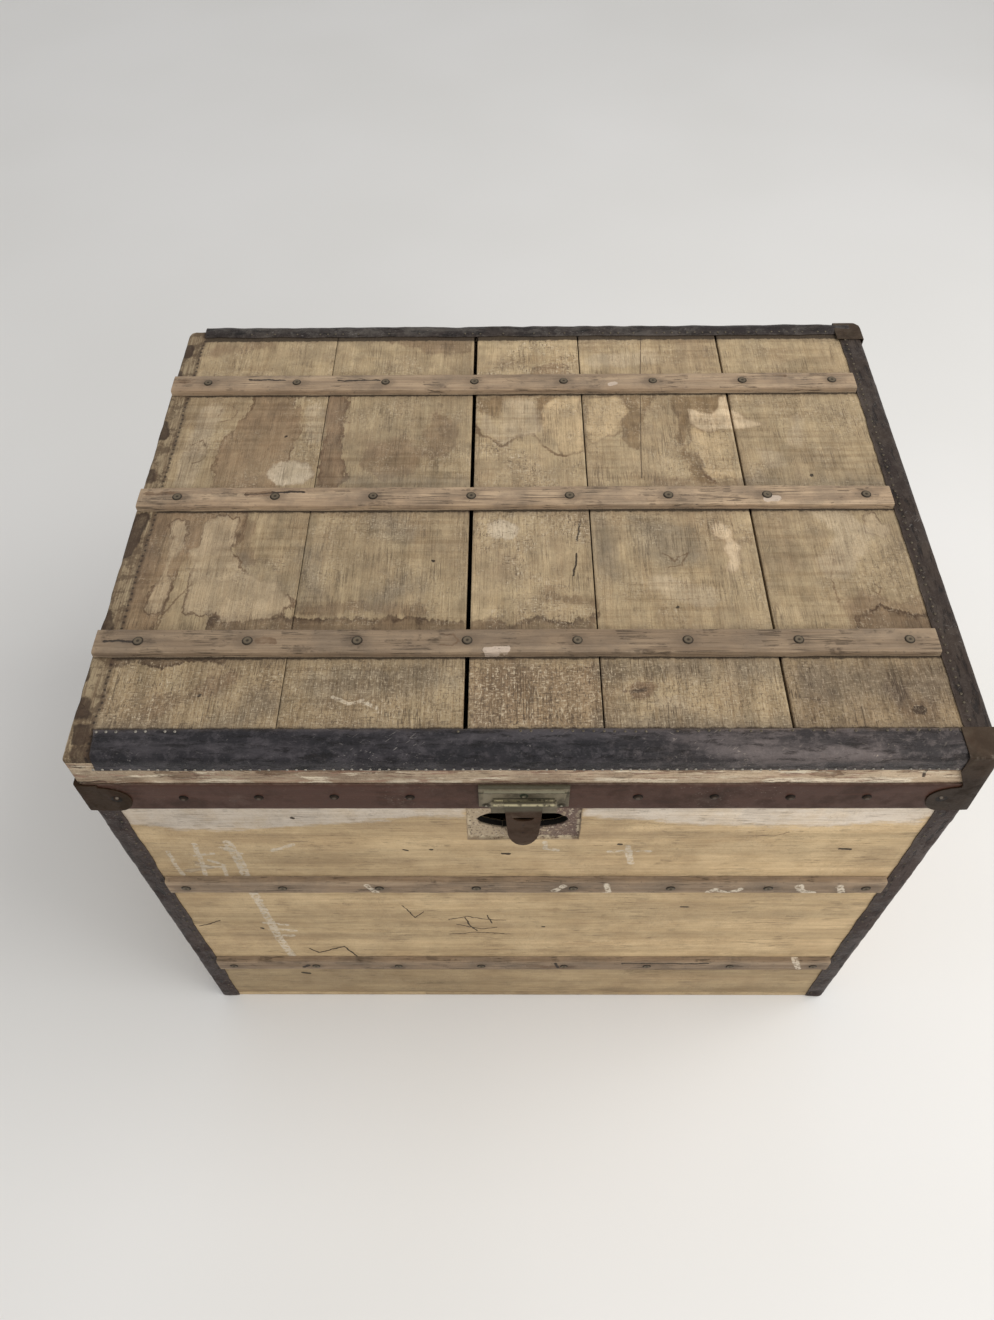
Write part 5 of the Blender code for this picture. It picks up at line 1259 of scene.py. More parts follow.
def round_head(shape, place, out, profile, sides, turn, tilt):
    """A turned head on a surface: the profile goes from its sunk foot over the crown to the middle."""
    out = Vector(out).normalized()
    aside = Vector((0, 0, 1)) if abs(out.z) < 0.5 else Vector((1, 0, 0))
    first = out.cross(aside).normalized()
    second = out.cross(first)
    axis = (out + first * tilt[0] + second * tilt[1]).normalized()
    layer = shape.verts.layers.float["reach"]
    widest = max(radius for radius, height in profile)
    rings = []
    for radius, height in profile[:-1]:
        ring = []
        for i in range(sides):
            angle = turn + 2 * math.pi * i / sides
            side = first * math.cos(angle) + second * math.sin(angle)
            vert = shape.verts.new(Vector(place) + side * radius + axis * height)
            vert[layer] = radius / widest
            ring.append(vert)
        rings.append(ring)
    tip = shape.verts.new(Vector(place) + axis * profile[-1][1])
    for a, b in zip(rings, rings[1:]):
        for i in range(sides):
            j = (i + 1) % sides
            shape.faces.new((a[i], a[j], b[j], b[i]))
    for i in range(sides):
        shape.faces.new((rings[-1][i], rings[-1][(i + 1) % sides], tip))
    shape.faces.new(list(reversed(rings[0])))


def nail_profile(radius, height):
    """Round nail head with a worn dimple in its middle."""
    return [
        (radius * 0.97, -0.0008),
        (radius, height * 0.20),
        (radius * 0.93, height * 0.62),
        (radius * 0.74, height * 0.95),
        (radius * 0.52, height),
        (radius * 0.34, height * 0.80),
        (radius * 0.20, height * 0.52),
        (0.0, height * 0.46),
    ]


def dome_profile(radius, height):
    return [
        (radius * 0.96, -0.0006),
        (radius, height * 0.15),
        (radius * 0.86, height * 0.58),
        (radius * 0.58, height * 0.88),
        (radius * 0.28, height * 0.98),
        (0.0, height),
    ]


def heads_piece(name, places, out, profile_kind, radius, height, body, material, seed, sides=20):
    """All the heads of one row as one piece, each a little different."""
    dice = random.Random(seed)
    shape = bmesh.new()
    shape.verts.layers.float.new("reach")
    for place in places:
        size = dice.uniform(0.94, 1.04)
        profile = profile_kind(radius * size, height * dice.uniform(0.86, 1.0))
        tilt = (dice.uniform(-0.03, 0.03), dice.uniform(-0.03, 0.03))
        round_head(shape, place, out, profile, sides, dice.uniform(0, 1), tilt)
    return new_piece(name, shape, body, material)


AXES = {"X": Vector((1, 0, 0)), "Y": Vector((0, 1, 0)), "Z": Vector((0, 0, 1))}


def slat_section(u, seed, half, thick):
    """Outline of a slat at one place: a flat foot, worn sides and a slightly crowned top."""
    lean = 0.0006 * wander(u, seed, 180)
    left = half + 0.0004 * wander(u, seed + 1, 26) + lean
    right = half + 0.0004 * wander(u, seed + 2, 24) - lean
    left_round = 0.0016 + 0.0009 * max(0.0, wander(u, seed + 3, 18))
    right_round = 0.0016 + 0.0009 * max(0.0, wander(u, seed + 4, 18))
    dip = 0.00025 * wander(u, seed + 5, 14)
    return [
        (-left, 0.0),
        (-left, thick * 0.35),
        (-left + 0.0001, thick - left_round * 1.15),
        (-left + left_round * 0.35, thick - left_round * 0.38),
        (-left + left_round, thick - 0.00025),
        (-half * 0.55, thick + dip * 0.3),
        (0.0, thick),
        (half * 0.55, thick - dip * 0.3),
        (right - right_round, thick - 0.00025),
        (right - right_round * 0.35, thick - right_round * 0.38),
        (right - 0.0001, thick - right_round * 1.15),
        (right, thick * 0.35),
        (right, 0.0),
    ]


def make_slat(node, body, along, across, out, start, end, middle, base, nail_places, finish):
    """A slat piece and its nails. base is how far out the slat's back lies along out."""
    run, side = AXES[along], AXES[across]
    seed = sum(ord(c) for c in node) % 97
    shape = bmesh.new()
    loops = []
    for u in spread(start, end, int((end - start) / 0.005)):
        frayed = u + (0.0007 * wander(u * 3, seed + 9) if start < u < end else 0.0)
        section = slat_section(u, seed, SLAT_WIDTH / 2 - FIT, SLAT_THICKNESS)
        loops.append([run * frayed + side * (middle + v) + out * (base + w) for v, w in section])
    skin(shape, loops)
    new_piece(node + "_wood", shape, body, finish, (node,))
    surface = base + SLAT_THICKNESS - 0.00005
    places = [run * u + side * middle + out * surface for u in nail_places]
    heads_piece(
        node + "_nails", places, out, nail_profile, 0.0050, 0.00118, body, NAIL_FINISH, seed
    )


def make_lid_slats():
    start, end = -0.3949, 0.3730
    nails = spread(-0.3549, 0.3470, 8)
    for index, (name, y) in enumerate(LID_SLATS.items()):
        node = f"lid_slat_{name}"
        box = ((start, y - SLAT_WIDTH / 2, 0), (end, y + SLAT_WIDTH / 2, 1))
        tint = {"front": 0.80, "middle": 1.29, "back": 1.15}[name]
        finish = slat_finish(node, box, "X", 3 + index, (nails[0], nails[1] - nails[0], y), tint)
        make_slat(node, "lid", "X", "Y", AXES["Z"], start, end, y, LID_WOOD_TOP + FIT, nails, finish)


def make_case_slats():
    front_nails = spread(-0.3539, 0.3539, 8)
    side_nails = spread(-0.2539, 0.2539, 6)
    for level, height in CASE_SLATS.items():
        foot, top = height - SLAT_WIDTH / 2, height + SLAT_WIDTH / 2
        tint = {"lower": 0.89, "upper": 0.96}[level]
        for side, out, axis, ways, wood, reach, nails in (
            ("front", -AXES["Y"], "X", (0, 2), CASE_Y, 0.3729, front_nails),
            ("back", AXES["Y"], "X", (0, 2), CASE_Y, 0.3729, front_nails),
            ("left", -AXES["X"], "Y", (1, 2), CASE_X, 0.2729, side_nails),
            ("right", AXES["X"], "Y", (1, 2), CASE_X, 0.2729, side_nails),
        ):
            node = f"{side}_slat_{level}"
            box = ((-reach, -reach, foot), (reach, reach, top))
            row = (nails[0], nails[1] - nails[0], height)
            finish = slat_finish(node, box, axis, len(node) + height * 10, row, tint, ways)
            make_slat(node, "case", axis, "Z", out, -reach, reach, height, wood + FIT, nails, finish)


def strip_loop(spine, thickness):
    """Closed outline of a strip on a spine of (point, normal), with rounded edges."""
    count = len(spine) - 1
    inner = [point + normal * FIT for point, normal in spine]
    outer = []
    for i, (point, normal) in enumerate(spine):
        share = min(i, count - i)
        rise = thickness(i / count) * (0.55 if share == 0 else 0.93 if share == 1 else 1.0)
        outer.append(point + normal * (FIT + rise))
    return inner + list(reversed(outer))


def angle_spine(first_reach, second_reach, steps):
    """Spine round a rounded edge, as (inward on the first face, inward on the second face, normal)."""
    points = []
    radius = WOOD_EDGE
    for i in range(steps):
        points.append((first_reach + (radius - first_reach) * i / steps, 0.0, (0.0, -1.0)))
    for i in range(steps + 1):
        angle = math.radians(270 - 90 * i / steps)
        normal = (math.cos(angle), math.sin(angle))
        points.append((radius + radius * normal[0], radius + radius * normal[1], normal))
    for i in range(1, steps + 1):
        points.append((0.0, radius + (second_reach - radius) * i / steps, (-1.0, 0.0)))
    return points


def make_top_binding(name, finish, sign, axis, reach, start, end, seed, bulge, ragged, torn=0.0):
    """Binding over one top edge of the lid, torn back at its start by up to the torn length.

    sign and axis say which side it lies on.
    """
    shape = bmesh.new()
    edge = FIT + BINDING
    wood = LID_WOOD_Y if axis == "Y" else LID_WOOD_X
    run = AXES["X"] if axis == "Y" else AXES["Y"]
    side = AXES[axis] * sign
    loops = []
    for s in spread(start, end, int((end - start) / GRID_PITCH)):
        first = reach - edge + ragged * wander(s, seed, 34) + ragged * 0.5 * wander(s, seed + 1, 9)
        second = BINDING_DROP - edge + 0.0006 * wander(s, seed + 2, 40)
        lift = 1.0 + 0.25 * wander(s, seed + 3, 22)
        spine = []
        steps = angle_spine(first, second, 5)
        for k, (u, v, normal) in enumerate(steps):
            lost = torn * math.sin(math.pi * (0.1 + 0.7 * k / len(steps))) * max(0.0, 1 - (s - start) / 0.024)
            lost *= 1.0 + 0.25 * wander(k * 0.004, seed + 5, 11)
            point = run * (s + lost) + side * (wood - u) + AXES["Z"] * (LID_WOOD_TOP - v)
            # the spine's normal points away from the wood: first place inward, second place down
            out = side * -normal[0] + AXES["Z"] * -normal[1]
            spine.append((point, out))

        def thickness(share, s=s, lift=lift):
            crown = math.sin(math.pi * share) ** 0.7
            rough = 0.0002 * noise.noise(Vector((s * 120, share * 9, seed)))
            return BINDING * 0.78 + bulge * crown * lift + rough

        loops.append(strip_loop(spine, thickness))
    skin(shape, loops)
    new_piece(name + "_strip", shape, "lid", finish, (name,))


def tack_row(name, places, out, radius, height, finish, seed, body="lid"):
    heads_piece(name, places, out, dome_profile, radius, height, body, finish, seed, 8)


def make_bindings():
    make_top_binding(
        "lid_binding_front", FRONT_BINDING_FINISH, -1, "Y", 0.030,
        -0.378, 0.388, 11, 0.0010, 0.0004, 0.0075,
    )
    make_top_binding(
        "lid_binding_back", BACK_BINDING_FINISH, 1, "Y", 0.018,
        -0.376, 0.388, 23, 0.0026, 0.0010,
    )
    make_top_binding(
        "lid_binding_right", RIGHT_BINDING_FINISH, 1, "X", 0.026,
        -0.2697, 0.2767, 37, 0.0006, 0.0008,
    )
    top = TOP + 0.0002
    up = AXES["Z"]
    dice = random.Random(5)
    tacks = [Vector((x, -0.2735 + 0.0006 * wander(x, 3), top - 0.0001)) for x in spread(-0.372, -0.304, 9)]
    # two of the nine are lost
    del tacks[6], tacks[3]
    tack_row("front_binding_tacks_left", tacks, up, 0.0013, 0.0007, TACK_FINISH, 1)
    tacks = [Vector((x, -0.2728 + 0.0008 * wander(x, 3), top - 0.0004)) for x in spread(-0.06, 0.37, 49)]
    tacks = [place for place in tacks if dice.random() < 0.7]
    tack_row("front_binding_tacks_top", tacks, up, 0.0012, 0.0006, DULL_TACK_FINISH, 5)
    face = -HALF_DEPTH - 0.0002
    tacks = [Vector((x, face, 0.5935 + 0.0006 * wander(x, 4))) for x in spread(-0.374, 0.382, 96)]
    tacks = [place for place in tacks if dice.random() < 0.93]
    tack_row("front_binding_tacks_foot", tacks, -AXES["Y"], 0.0013, 0.0008, TACK_FINISH, 2)
    tacks = [Vector((x, 0.2850 + 0.0005 * wander(x, 5), top + 0.0006)) for x in spread(-0.366, 0.368, 82)]
    tacks = [place for place in tacks if dice.random() < 0.6]
    tack_row("back_binding_tacks", tacks, up, 0.0011, 0.0005, DULL_TACK_FINISH, 3)
    tacks = [Vector((0.3800 + 0.0007 * wander(y, 6), y, top)) for y in spread(-0.262, 0.270, 60)]
    tack_row("right_binding_tacks", tacks, up, 0.0012, 0.0006, DULL_TACK_FINISH, 4)


def make_corner_bindings():
    for front, sy in (("front", -1), ("back", 1)):
        for side, sx in (("left", -1), ("right", 1)):
            seed = 40 + 3 * sx + 7 * sy
            shape = bmesh.new()
            loops = []
            for z in spread(0.002, CASE_TOP - FIT, 130):
                first = 0.0218 + 0.0009 * wander(z, seed, 34) + 0.0004 * wander(z, seed + 1, 9)
                second = 0.0218 + 0.0009 * wander(z, seed + 2, 34) + 0.0004 * wander(z, seed + 3, 9)
                spine = []
                for u, v, normal in angle_spine(first, second, 4):
                    point = Vector((sx * (CASE_X - u), sy * (CASE_Y - v), z))
                    spine.append((point, Vector((-sx * normal[0], -sy * normal[1], 0.0))))

                def thickness(share, z=z):
                    rough = 0.0005 * noise.noise(Vector((z * 70, share * 5, seed)))
                    rough += 0.00025 * noise.noise(Vector((z * 240, share * 12, seed)))
                    return BINDING * 0.86 + rough + 0.0004 * math.sin(math.pi * share)

                loops.append(strip_loop(spine, thickness))
            skin(shape, loops)
            name = f"corner_binding_{front}_{side}"
            new_piece(name + "_strip", shape, "case", CORNER_BINDING_FINISH, (name,))
            x, face_x = sx * (CASE_X - 0.0165), sx * (CASE_X + FIT + BINDING - 0.0002)
            y, face_y = sy * (CASE_Y - 0.0165), sy * (CASE_Y + FIT + BINDING - 0.0002)
            levels = spread(0.014, 0.510, 34)
            for letter, out, row in (
                ("a", AXES["Y"] * sy, [Vector((x, face_y, z)) for z in levels]),
                ("b", AXES["X"] * sx, [Vector((face_x, y, z)) for z in levels]),
            ):
                tacks = f"{name}_tacks_{letter}"
                tack_row(tacks, row, out, 0.0012, 0.0006, DULL_TACK_FINISH, seed + "ab".index(letter), "case")


def outline_path(half_x, half_y, radius, step):
    """Points (x, y, normal) round a rounded rectangle, counter-clockwise from the front's left end."""
    path = []
    for dx, dy in ((1, 0), (0, 1), (-1, 0), (0, -1)):
        nx, ny = dy, -dx
        centre_x, centre_y = nx * half_x, ny * half_y
        length = (half_x if dx else half_y) - radius
        for s in spread(-length, length, max(2, int(2 * length / step))):
            path.append((centre_x + dx * s, centre_y + dy * s, Vector((nx, ny, 0.0))))
        corner_x = centre_x + dx * length - nx * radius
        corner_y = centre_y + dy * length - ny * radius
        for i in range(1, 6):
            angle = math.atan2(ny, nx) + math.radians(90) * i / 6
            normal = Vector((math.cos(angle), math.sin(angle), 0.0))
            path.append((corner_x + radius * normal.x, corner_y + radius * normal.y, normal))
    return path


def make_band():
    shape = bmesh.new()
    loops = []
    # Where the band's outside bends, as a share of its height, and how far it stands out there
    shares = (0, 0.03, 0.1, 0.3, 0.5, 0.7, 0.9, 0.97, 1)
    rises = (0.0012, 0.0016, 0.0018, 0.0017, 0.0017, 0.0017, 0.0018, 0.0016, 0.0011)
    for x, y, normal in outline_path(LID_WOOD_X + FIT, LID_WOOD_Y + FIT, LID_CORNER + FIT, 0.008):
        along = x * 1.3 + y * 0.9
        top = BAND_TOP - 0.0004 + 0.0004 * wander(along, 61, 50)
        foot = LID_FOOT + 0.0002 + 0.0002 * max(0.0, wander(along, 62, 60))
        heights = [foot + (top - foot) * share for share in shares]
        loop = [Vector((x, y, z)) for z in heights]
        for z, rise in reversed(list(zip(heights, rises))):
            rise += 0.0001 * wander(along + z, 63, 12) - 0.0001
            loop.append(Vector((x, y, z)) + normal * rise)
        loops.append(loop)
    skin(shape, loops, ring=True)
    new_piece("lid_band_strip", shape, "lid", BAND_FINISH, ("lid_band",))
    steps = [side * BAND_RIVET_PITCH * (i + 0.5) for side in (-1, 1) for i in range(5)]
    side_steps = [step for step in steps if abs(step) < 0.25]
    for side, axis, out, places, seed in (
        ("front", "X", -AXES["Y"] * HALF_DEPTH, [HASP_X + step for step in steps if abs(step) > 0.047], 7),
        ("back", "X", AXES["Y"] * HALF_DEPTH, [s for s in steps if abs(abs(s) - 0.230) > 0.0285], 7),
        ("left", "Y", -AXES["X"] * HALF_WIDTH, side_steps, 8),
        ("right", "Y", AXES["X"] * HALF_WIDTH, side_steps, 8),
    ):
        sunk = out - out.normalized() * 0.0002
        uneven = 0.0015 if axis == "X" else 0.0
        rivets = [
            AXES[axis] * u + AXES["Z"] * (BAND_MIDDLE + uneven * wander(u, 9, 20)) + sunk for u in places
        ]
        heads_piece(
            f"band_rivets_{side}", rivets, out, dome_profile, 0.0045, 0.0022, "lid", RIVET_FINISH,
            seed, 14,
        )


def squared_foot(point):
    """A place on a corner cap's outside, moved out so that its corner is sharper low down than on top."""
    past_x = abs(point.x) - (CAP_X - CAP_CORNER)
    past_y = abs(point.y) - (CAP_Y - CAP_CORNER)
    if past_x <= 0 or past_y <= 0 or math.hypot(past_x, past_y) < CAP_CORNER - 0.0004:
        return point.copy()
    share = min(1.0, max(0.0, (0.597 - point.z) / 0.020))
    turn = math.atan2(past_y, past_x)
    out = (CAP_CORNER - CAP_SHARP_CORNER) * share
    return point + Vector((
        math.copysign(out * (1 - math.cos(turn)), point.x),
        math.copysign(out * (1 - math.sin(turn)), point.y),
        0.0,
    ))


def worn_copy(node, body, finish, reshape=None):
    """A fitting's own shape with its sharp edges rubbed round."""
    mesh = NODES[node].data.copy()
    mesh.name = node + "_metal"
    mesh.materials.clear()
    mesh.materials.append(finish)
    shape = bmesh.new()
    shape.from_mesh(mesh)
    bmesh.ops.remove_doubles(shape, verts=shape.verts, dist=0.00001)
    bmesh.ops.dissolve_limit(shape, angle_limit=math.radians(1), verts=shape.verts, edges=shape.edges)
    if reshape:
        for vert in shape.verts:
            vert.co = reshape(vert.co)
    shape.to_mesh(mesh)
    shape.free()
    obj = bpy.data.objects.new(node + "_metal", mesh)
    bpy.context.scene.collection.objects.link(obj)
    bevel = obj.modifiers.new("rubbed_edges", "BEVEL")
    bevel.width = 0.0003
    bevel.segments = 2
    bevel.limit_method = "ANGLE"
    bevel.angle_limit = math.radians(35)
    bevel.use_clamp_overlap = True
    mesh.shade_smooth()
    mesh.set_sharp_from_angle(angle=math.radians(50))
    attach(obj, body)
    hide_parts(node)


def make_fittings():
    for corner in ("front_left", "front_right", "back_left", "back_right"):
        finish = OLIVE_IRON_FINISH if corner == "front_left" else IRON_FINISH
        worn_copy(f"corner_cap_{corner}", "lid", finish, squared_foot)
    worn_copy("hasp_plate", "lid", BRASS_FINISH)
    worn_copy("hasp_tongue", "hasp", TONGUE_FINISH)


def set_finish(node, material):
    for one in NODES[node].material_slots:
        one.material = material


def grid_places(low, high, pitch, fine=()):
    """Places from low to high: close together at both ends and in the fine stretch."""
    near_end = (0.0, 0.0003, 0.0009, 0.0018, 0.0032)
    places = {low + d for d in near_end} | {high - d for d in near_end}
    places |= set(spread(low, high, int((high - low) / pitch) + 1)[1:-1])
    if fine:
        start, end = fine
        places = {p for p in places if not start < p < end}
        places |= set(spread(start, end, int((end - start) / FINE_PITCH)))
    ordered = sorted(places)
    kept = ordered[:1]
    for p in ordered[1:]:
        if p - kept[-1] > 0.00025:
            kept.append(p)
    return kept


def board_from_grid(us, vs, face, behind, open_at=None):
    """A board with a finely cut face.

    face and behind give its points, and open_at says where it is cut through.
    """
    shape = bmesh.new()
    points = [[shape.verts.new(face(u, v)) for v in vs] for u in us]
    for i in range(len(us) - 1):
        for j in range(len(vs) - 1):
            if open_at and open_at((us[i] + us[i + 1]) / 2, (vs[j] + vs[j + 1]) / 2):
                continue
            shape.faces.new((points[i][j], points[i + 1][j], points[i + 1][j + 1], points[i][j + 1]))
    places = {points[i][j]: (u, v) for i, u in enumerate(us) for j, v in enumerate(vs)}
    rim = [e for e in shape.edges if e.is_boundary]
    back = {}
    for edge in rim:
        for vert in edge.verts:
            if vert not in back:
                back[vert] = shape.verts.new(behind(vert.co, *places[vert]))
    for edge in rim:
        a, b = edge.verts
        shape.faces.new((a, b, back[b], back[a]))
    shape.edges.index_update()
    back_edges = [shape.edges.get((back[a], back[b])) for a, b in (e.verts for e in rim)]
    bmesh.ops.triangle_fill(shape, edges=back_edges, use_beauty=False)
    loose = [v for v in shape.verts if not v.link_faces]
    bmesh.ops.delete(shape, geom=loose, context="VERTS")
    bmesh.ops.remove_doubles(shape, verts=shape.verts, dist=0.00001)
    return shape


def lid_plank_point(x, y, low_x, high_x, seed):
    """A point on a lid plank's top, with the lid's rounded rim, worn joints and a slight unevenness."""
    corner = BARE_CORNER if x < 0 and y < 0 else LID_CORNER
    past_x = abs(x) - (LID_WOOD_X - corner)
    past_y = abs(y) - (LID_WOOD_Y - corner)
    gap = corner - max(past_x, past_y)
    if past_x > 0 and past_y > 0:
        reach = math.hypot(past_x, past_y)
        gap = max(0.0, corner - reach)
        if reach > corner:
            x = math.copysign(LID_WOOD_X - corner + past_x * corner / reach, x)
            y = math.copysign(LID_WOOD_Y - corner + past_y * corner / reach, y)
    drop = 0.00015 + 0.00012 * noise.noise(Vector((x * 30, y * 8, seed)))
    if gap < WOOD_EDGE:
        drop += WOOD_EDGE - math.sqrt(max(0.0, WOOD_EDGE**2 - (WOOD_EDGE - gap) ** 2))
    joint = min(x - low_x if low_x > -0.39 else 1.0, high_x - x if high_x < 0.39 else 1.0)
    if joint < JOINT_EDGE:
        chip = 0.0006 + 0.0005 * max(0.0, noise.noise(Vector((x * 40, y * 70, seed))))
        drop += chip * (1 - joint / JOINT_EDGE) ** 2
    if x < BARE_STRIP_X:
        # the rim that has lost its binding is gnawed and split
        bare = min(1.0, (BARE_STRIP_X - x) / 0.008)
        drop += bare * 0.0009 * max(0.0, noise.noise(Vector((x * 120, y * 60, 3.3))) + 0.25)
        split = max(0.0, 1 - math.hypot(x + 0.398, y + 0.298) / 0.030)
        drop += split * 0.0030 * abs(noise.noise(Vector((x * 160, y * 160, 8.1))) + 0.3)
        x += bare * 0.0012 * max(0.0, noise.noise(Vector((4.4, y * 55, 1.7))) + 0.1)
    return Vector((x, y, LID_WOOD_TOP - min(drop, 0.0086)))


def painted_board(node, body, shape, areas, lines, plane, look, run, seed, tones, extra, weather):
    """Make a board's piece from its shape, store its stains and give it its finish."""
    obj = new_piece(node + "_wood", shape, body, None, (node,), 50)
    kinds = write_areas(obj.data, areas, *plane)
    finish = board_finish(look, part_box(node), run, seed, tones, kinds, lines, plane, extra, weather)
    obj.data.materials.append(finish)


def make_lid_planks():
    names = {"left": 1.0, "mid_left": 0.97, "middle": 1.12, "mid_right": 1.07, "right": 0.98}
    for seed, (name, lightness) in enumerate(names.items(), 1):
        node = f"lid_plank_{name}"
        low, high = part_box(node)
        shape = board_from_grid(
            grid_places(low.x, high.x, GRID_PITCH),
            grid_places(low.y, high.y, GRID_PITCH),
            lambda x, y, a=low.x, b=high.x, s=seed: lid_plank_point(x, y, a, b, s),
            lambda point, x, y: Vector((point.x, point.y, PLANK_FOOT)),
        )
        areas = LID_AREAS + (GLUE_AREAS if name == "left" else [])
        extra = {"left": bare_left_rim, "right": darker_front_right}.get(name, dirt_and_shade_by_slats)
        weather = (0.90 if name == "middle" else 0.52, 0.30, 0.38, 0.75)
        painted_board(
            node, "lid", shape, areas, LID_LINES, (0, 1), "lid_poplar_" + name,
            "Y", seed, toned(LID_TONES, lightness), extra, weather,
        )


def lock_place(x, z):
    """A place relative to the lock's oval hole, whose edge is at a distance of one from its middle."""
    return (x - LOCK_CENTRE[0]) / LOCK_HALF[0], (z - LOCK_CENTRE[1]) / LOCK_HALF[1]


def in_lock_hole(x, z):
    return math.hypot(*lock_place(x, z)) < 1


def front_board_point(x, z, low_z, high_z, seed):
    """A point on a front board's face, with worn joints, rounded ends and the torn place of the lock."""
    depth = 0.0001 + 0.00012 * noise.noise(Vector((x * 8, z * 30, seed)))
    past = abs(x) - (CASE_X - WOOD_EDGE)
    if past > 0:
        depth += WOOD_EDGE - math.sqrt(max(0.0, WOOD_EDGE**2 - past**2))
    joint = min(z - low_z, high_z - z)
    if joint < JOINT_EDGE:
        depth += 0.0005 * (1 - joint / JOINT_EDGE) ** 2
    if RECESS_LOW[0] < x < RECESS_HIGH_X and z > RECESS_LOW[1]:
        coarse = noise.noise(Vector((x * 160, z * 260, 2.2)))
        torn = coarse + 0.5 * noise.noise(Vector((x * 420, z * 500, 5.2)))
        depth = 0.0030 + 0.0007 * torn
    u, v = lock_place(x, z)
    reach = math.hypot(u, v)
    if high_z > 0.5 and abs(reach - 1) < 0.06:
        frayed = 1.0 + 0.02 * noise.noise(Vector((u * 4, v * 4, 7.7)))
        x = LOCK_CENTRE[0] + LOCK_HALF[0] * u / reach * frayed
        z = LOCK_CENTRE[1] + LOCK_HALF[1] * v / reach * frayed
    return Vector((x, -CASE_Y + depth, z))


def make_rim_front():
    """The board along the lid's front, bare between the binding and the band."""
    node = "lid_rim_front"
    low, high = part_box(node)

    def face(x, z):
        corner = BARE_CORNER if x < 0 else LID_CORNER
        depth = 0.0002 + 0.0002 * noise.noise(Vector((x * 25, z * 120, 6.1)))
        past = abs(x) - (LID_WOOD_X - corner)
        if past > 0:
            depth += corner - math.sqrt(max(0.0, corner**2 - past**2))
        return Vector((x, -LID_WOOD_Y + max(0.0, depth), z))

    xs = grid_places(low.x, high.x, GRID_PITCH)
    zs = grid_places(low.z, high.z, 0.003)
    shape = board_from_grid(xs, zs, face, lambda point, x, z: Vector((point.x, high.y, point.z)))
    painted_board(
        node, "lid", shape, RIM_AREAS, RIM_LINES, (0, 2), "lid_poplar_" + node,
        "X", 9, RIM_TONES, peeled_rim, (0.25, 0.40, 0.45, 0.0),
    )


def make_front_boards():
    # The lower board's darker tone is painted shade, for the light that falls off towards the floor
    for index, (level, lightness) in enumerate({"lower": 0.72, "middle": 1.04, "upper": 1.08}.items()):
        node = f"front_board_{level}"
        low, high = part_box(node)
        upper = level == "upper"
        xs = grid_places(low.x, high.x, GRID_PITCH, (-0.060, 0.056) if upper else ())
        zs = grid_places(low.z, high.z, GRID_PITCH, (0.4500, 0.5200) if upper else ())
        if upper:
            # the dented place of the lock has steep sides
            left, foot = RECESS_LOW
            right = RECESS_HIGH_X
            xs = sorted({*xs, left - 0.0002, left + 0.0003, right - 0.0003, right + 0.0002})
            zs = sorted({*zs, foot - 0.0002, foot + 0.0003})
        shape = board_from_grid(
            xs,
            zs,
            lambda x, z, a=low.z, b=high.z, s=index: front_board_point(x, z, a, b, s),
            lambda point, x, z: Vector((point.x, FRONT_BOARD_DEPTH - CASE_Y, point.z)),
            in_lock_hole if upper else None,
        )
        painted_board(
            node, "case", shape, FRONT_AREAS, FRONT_LINES, (0, 2), "case_poplar_" + node,
            "X", index + 14, toned(CASE_TONES, lightness), torn_lock_place if upper else None,
            (0.16, 0.30, 0.25, 0.0),
        )


def finish_boards():
    """Give every board that stays as modelled its own old wood."""
    rims = sorted(n for n in NODES if n.startswith("lid_rim_") and n != "lid_rim_front")
    for index, node in enumerate(rims):
        run = "X" if node.endswith(("front", "back")) else "Y"
        set_finish(node, board_finish("lid_poplar_" + node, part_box(node), run, index + 9, RIM_TONES))
    plain = ("back_board", "left_board", "right_board", "bottom_plank", "inner_rim")
    for index, node in enumerate(sorted(n for n in NODES if n.startswith(plain))):
        run = "X" if node.startswith(("back", "bottom", "inner_rim_front")) else "Y"
        finish = board_finish(
            "case_poplar_" + node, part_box(node), run, index + 18, CASE_TONES, weather=(0.2, 0.30, 0.5, 0.0)
        )
        set_finish(node, finish)


def finish_metal():
    for node in NODES:
        if node.startswith(("hinge_", "handle_")):
            set_finish(node, HINGE_FINISH)
    set_finish("hasp_pin", BRASS_FINISH)


# Floor, light and camera

def make_stage():
    shape = bmesh.new()
    bmesh.ops.create_grid(shape, x_segments=2, y_segments=2, size=9.0)
    mesh = bpy.data.meshes.new("studio_floor")
    shape.to_mesh(mesh)
    shape.free()
    floor = bpy.data.objects.new("studio_floor", mesh)
    floor.location = (0, 0, -0.0004)
    bpy.context.scene.collection.objects.link(floor)
    material, t, shader, place = new_material("studio_floor")
    soft = t.patches(place, 1.4, 2.0, 0.5, 0.3, 0.7)
    t.join(shader.inputs["Base Color"], t.mix(soft, (0.76, 0.75, 0.73), (0.79, 0.78, 0.765)))
    t.join(shader.inputs["Roughness"], 0.9)
    t.join(shader.inputs["Specular IOR Level"], 0.2)
    mesh.materials.append(material)


def area_light(name, place, aim, size, power, colour):
    lamp = bpy.data.lights.new(name, "AREA")
    lamp.shape = "RECTANGLE"
    lamp.size, lamp.size_y = size
    lamp.energy = power
    lamp.color = colour
    obj = bpy.data.objects.new(name, lamp)
    obj.location = place
    obj.rotation_mode = "QUATERNION"
    obj.rotation_quaternion = (Vector(aim) - Vector(place)).to_track_quat("-Z", "Y")
    bpy.context.scene.collection.objects.link(obj)


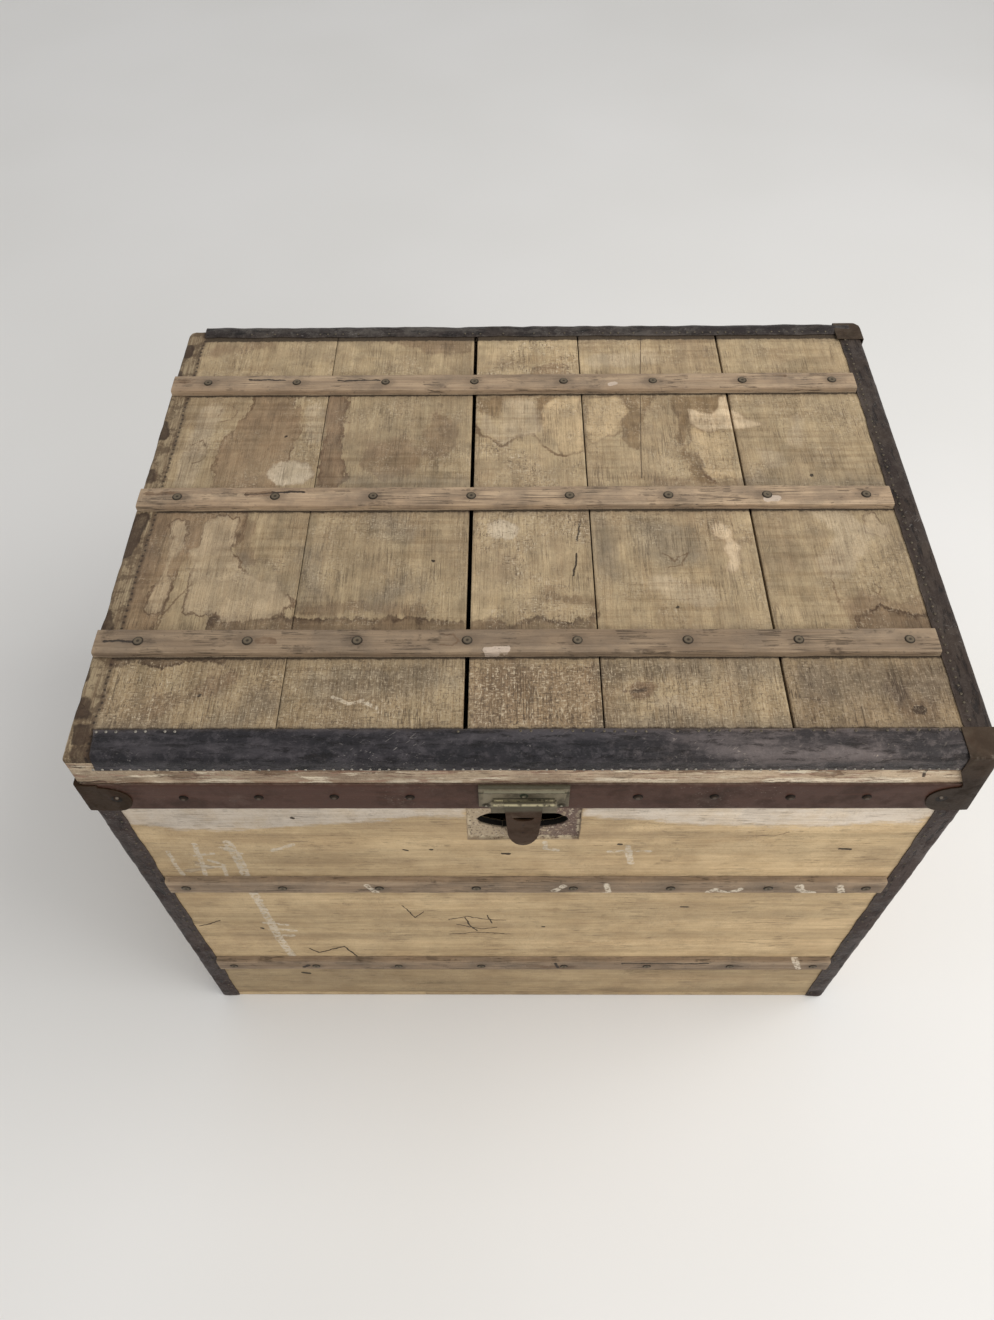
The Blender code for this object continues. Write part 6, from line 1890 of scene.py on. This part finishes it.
def make_light():
    world = bpy.data.worlds.new("studio")
    bpy.context.scene.world = world
    world.use_nodes = True
    world.node_tree.nodes.clear()
    t = Tree(world.node_tree)
    lit = t.add("ShaderNodeBackground", ((1.0, 1.0, 1.0), 0.60))
    seen = t.add("ShaderNodeBackground", ((0.93, 0.93, 0.92), 1.0))
    path = t.add("ShaderNodeLightPath").outputs
    shown = t.math("MAXIMUM", path["Is Camera Ray"], path["Is Glossy Ray"])
    shown = t.math("MAXIMUM", shown, path["Is Transmission Ray"])
    both = t.add("ShaderNodeMixShader", (shown, lit.outputs[0], seen.outputs[0]))
    t.add("ShaderNodeOutputWorld", (both.outputs[0],))
    area_light("ceiling_panel", (1.8, -0.4, 2.8), (0.0, 0.0, 0.5), (2.2, 1.8), 56.0, (1.0, 0.985, 0.955))
    area_light("front_panel", (1.6, -2.8, 1.9), (0.0, -0.2, 0.4), (2.0, 1.6), 26.0, (1.0, 0.985, 0.96))


CAMERA_PLACE = Vector((-0.0170, -0.7418, 1.3460))
CAMERA_YAW = math.radians(-1.0403)
CAMERA_PITCH = math.radians(53.412)
CAMERA_ROLL = math.radians(-0.9627)
CAMERA_LENS = 27.616


def make_camera():
    data = bpy.data.cameras.new("viewpoint")
    data.sensor_fit = "AUTO"
    data.sensor_width = 36.0
    data.lens = CAMERA_LENS
    data.clip_start = 0.01
    camera = bpy.data.objects.new("viewpoint", data)
    bpy.context.scene.collection.objects.link(camera)
    ahead = Vector((
        math.sin(CAMERA_YAW) * math.cos(CAMERA_PITCH),
        math.cos(CAMERA_YAW) * math.cos(CAMERA_PITCH),
        -math.sin(CAMERA_PITCH),
    ))
    level = Vector((math.cos(CAMERA_YAW), -math.sin(CAMERA_YAW), 0.0))
    above = level.cross(ahead)
    right = level * math.cos(CAMERA_ROLL) + above * math.sin(CAMERA_ROLL)
    up = above * math.cos(CAMERA_ROLL) - level * math.sin(CAMERA_ROLL)
    turn = Matrix((right, up, -ahead)).transposed()
    camera.matrix_world = Matrix.Translation(CAMERA_PLACE) @ turn.to_4x4()
    bpy.context.scene.camera = camera


make_lid_planks()
make_rim_front()
make_front_boards()
make_lid_slats()
make_case_slats()
make_bindings()
make_corner_bindings()
make_band()
make_fittings()
finish_boards()
finish_metal()
make_stage()
make_light()
make_camera()
bpy.context.scene.view_settings.view_transform = "Standard"
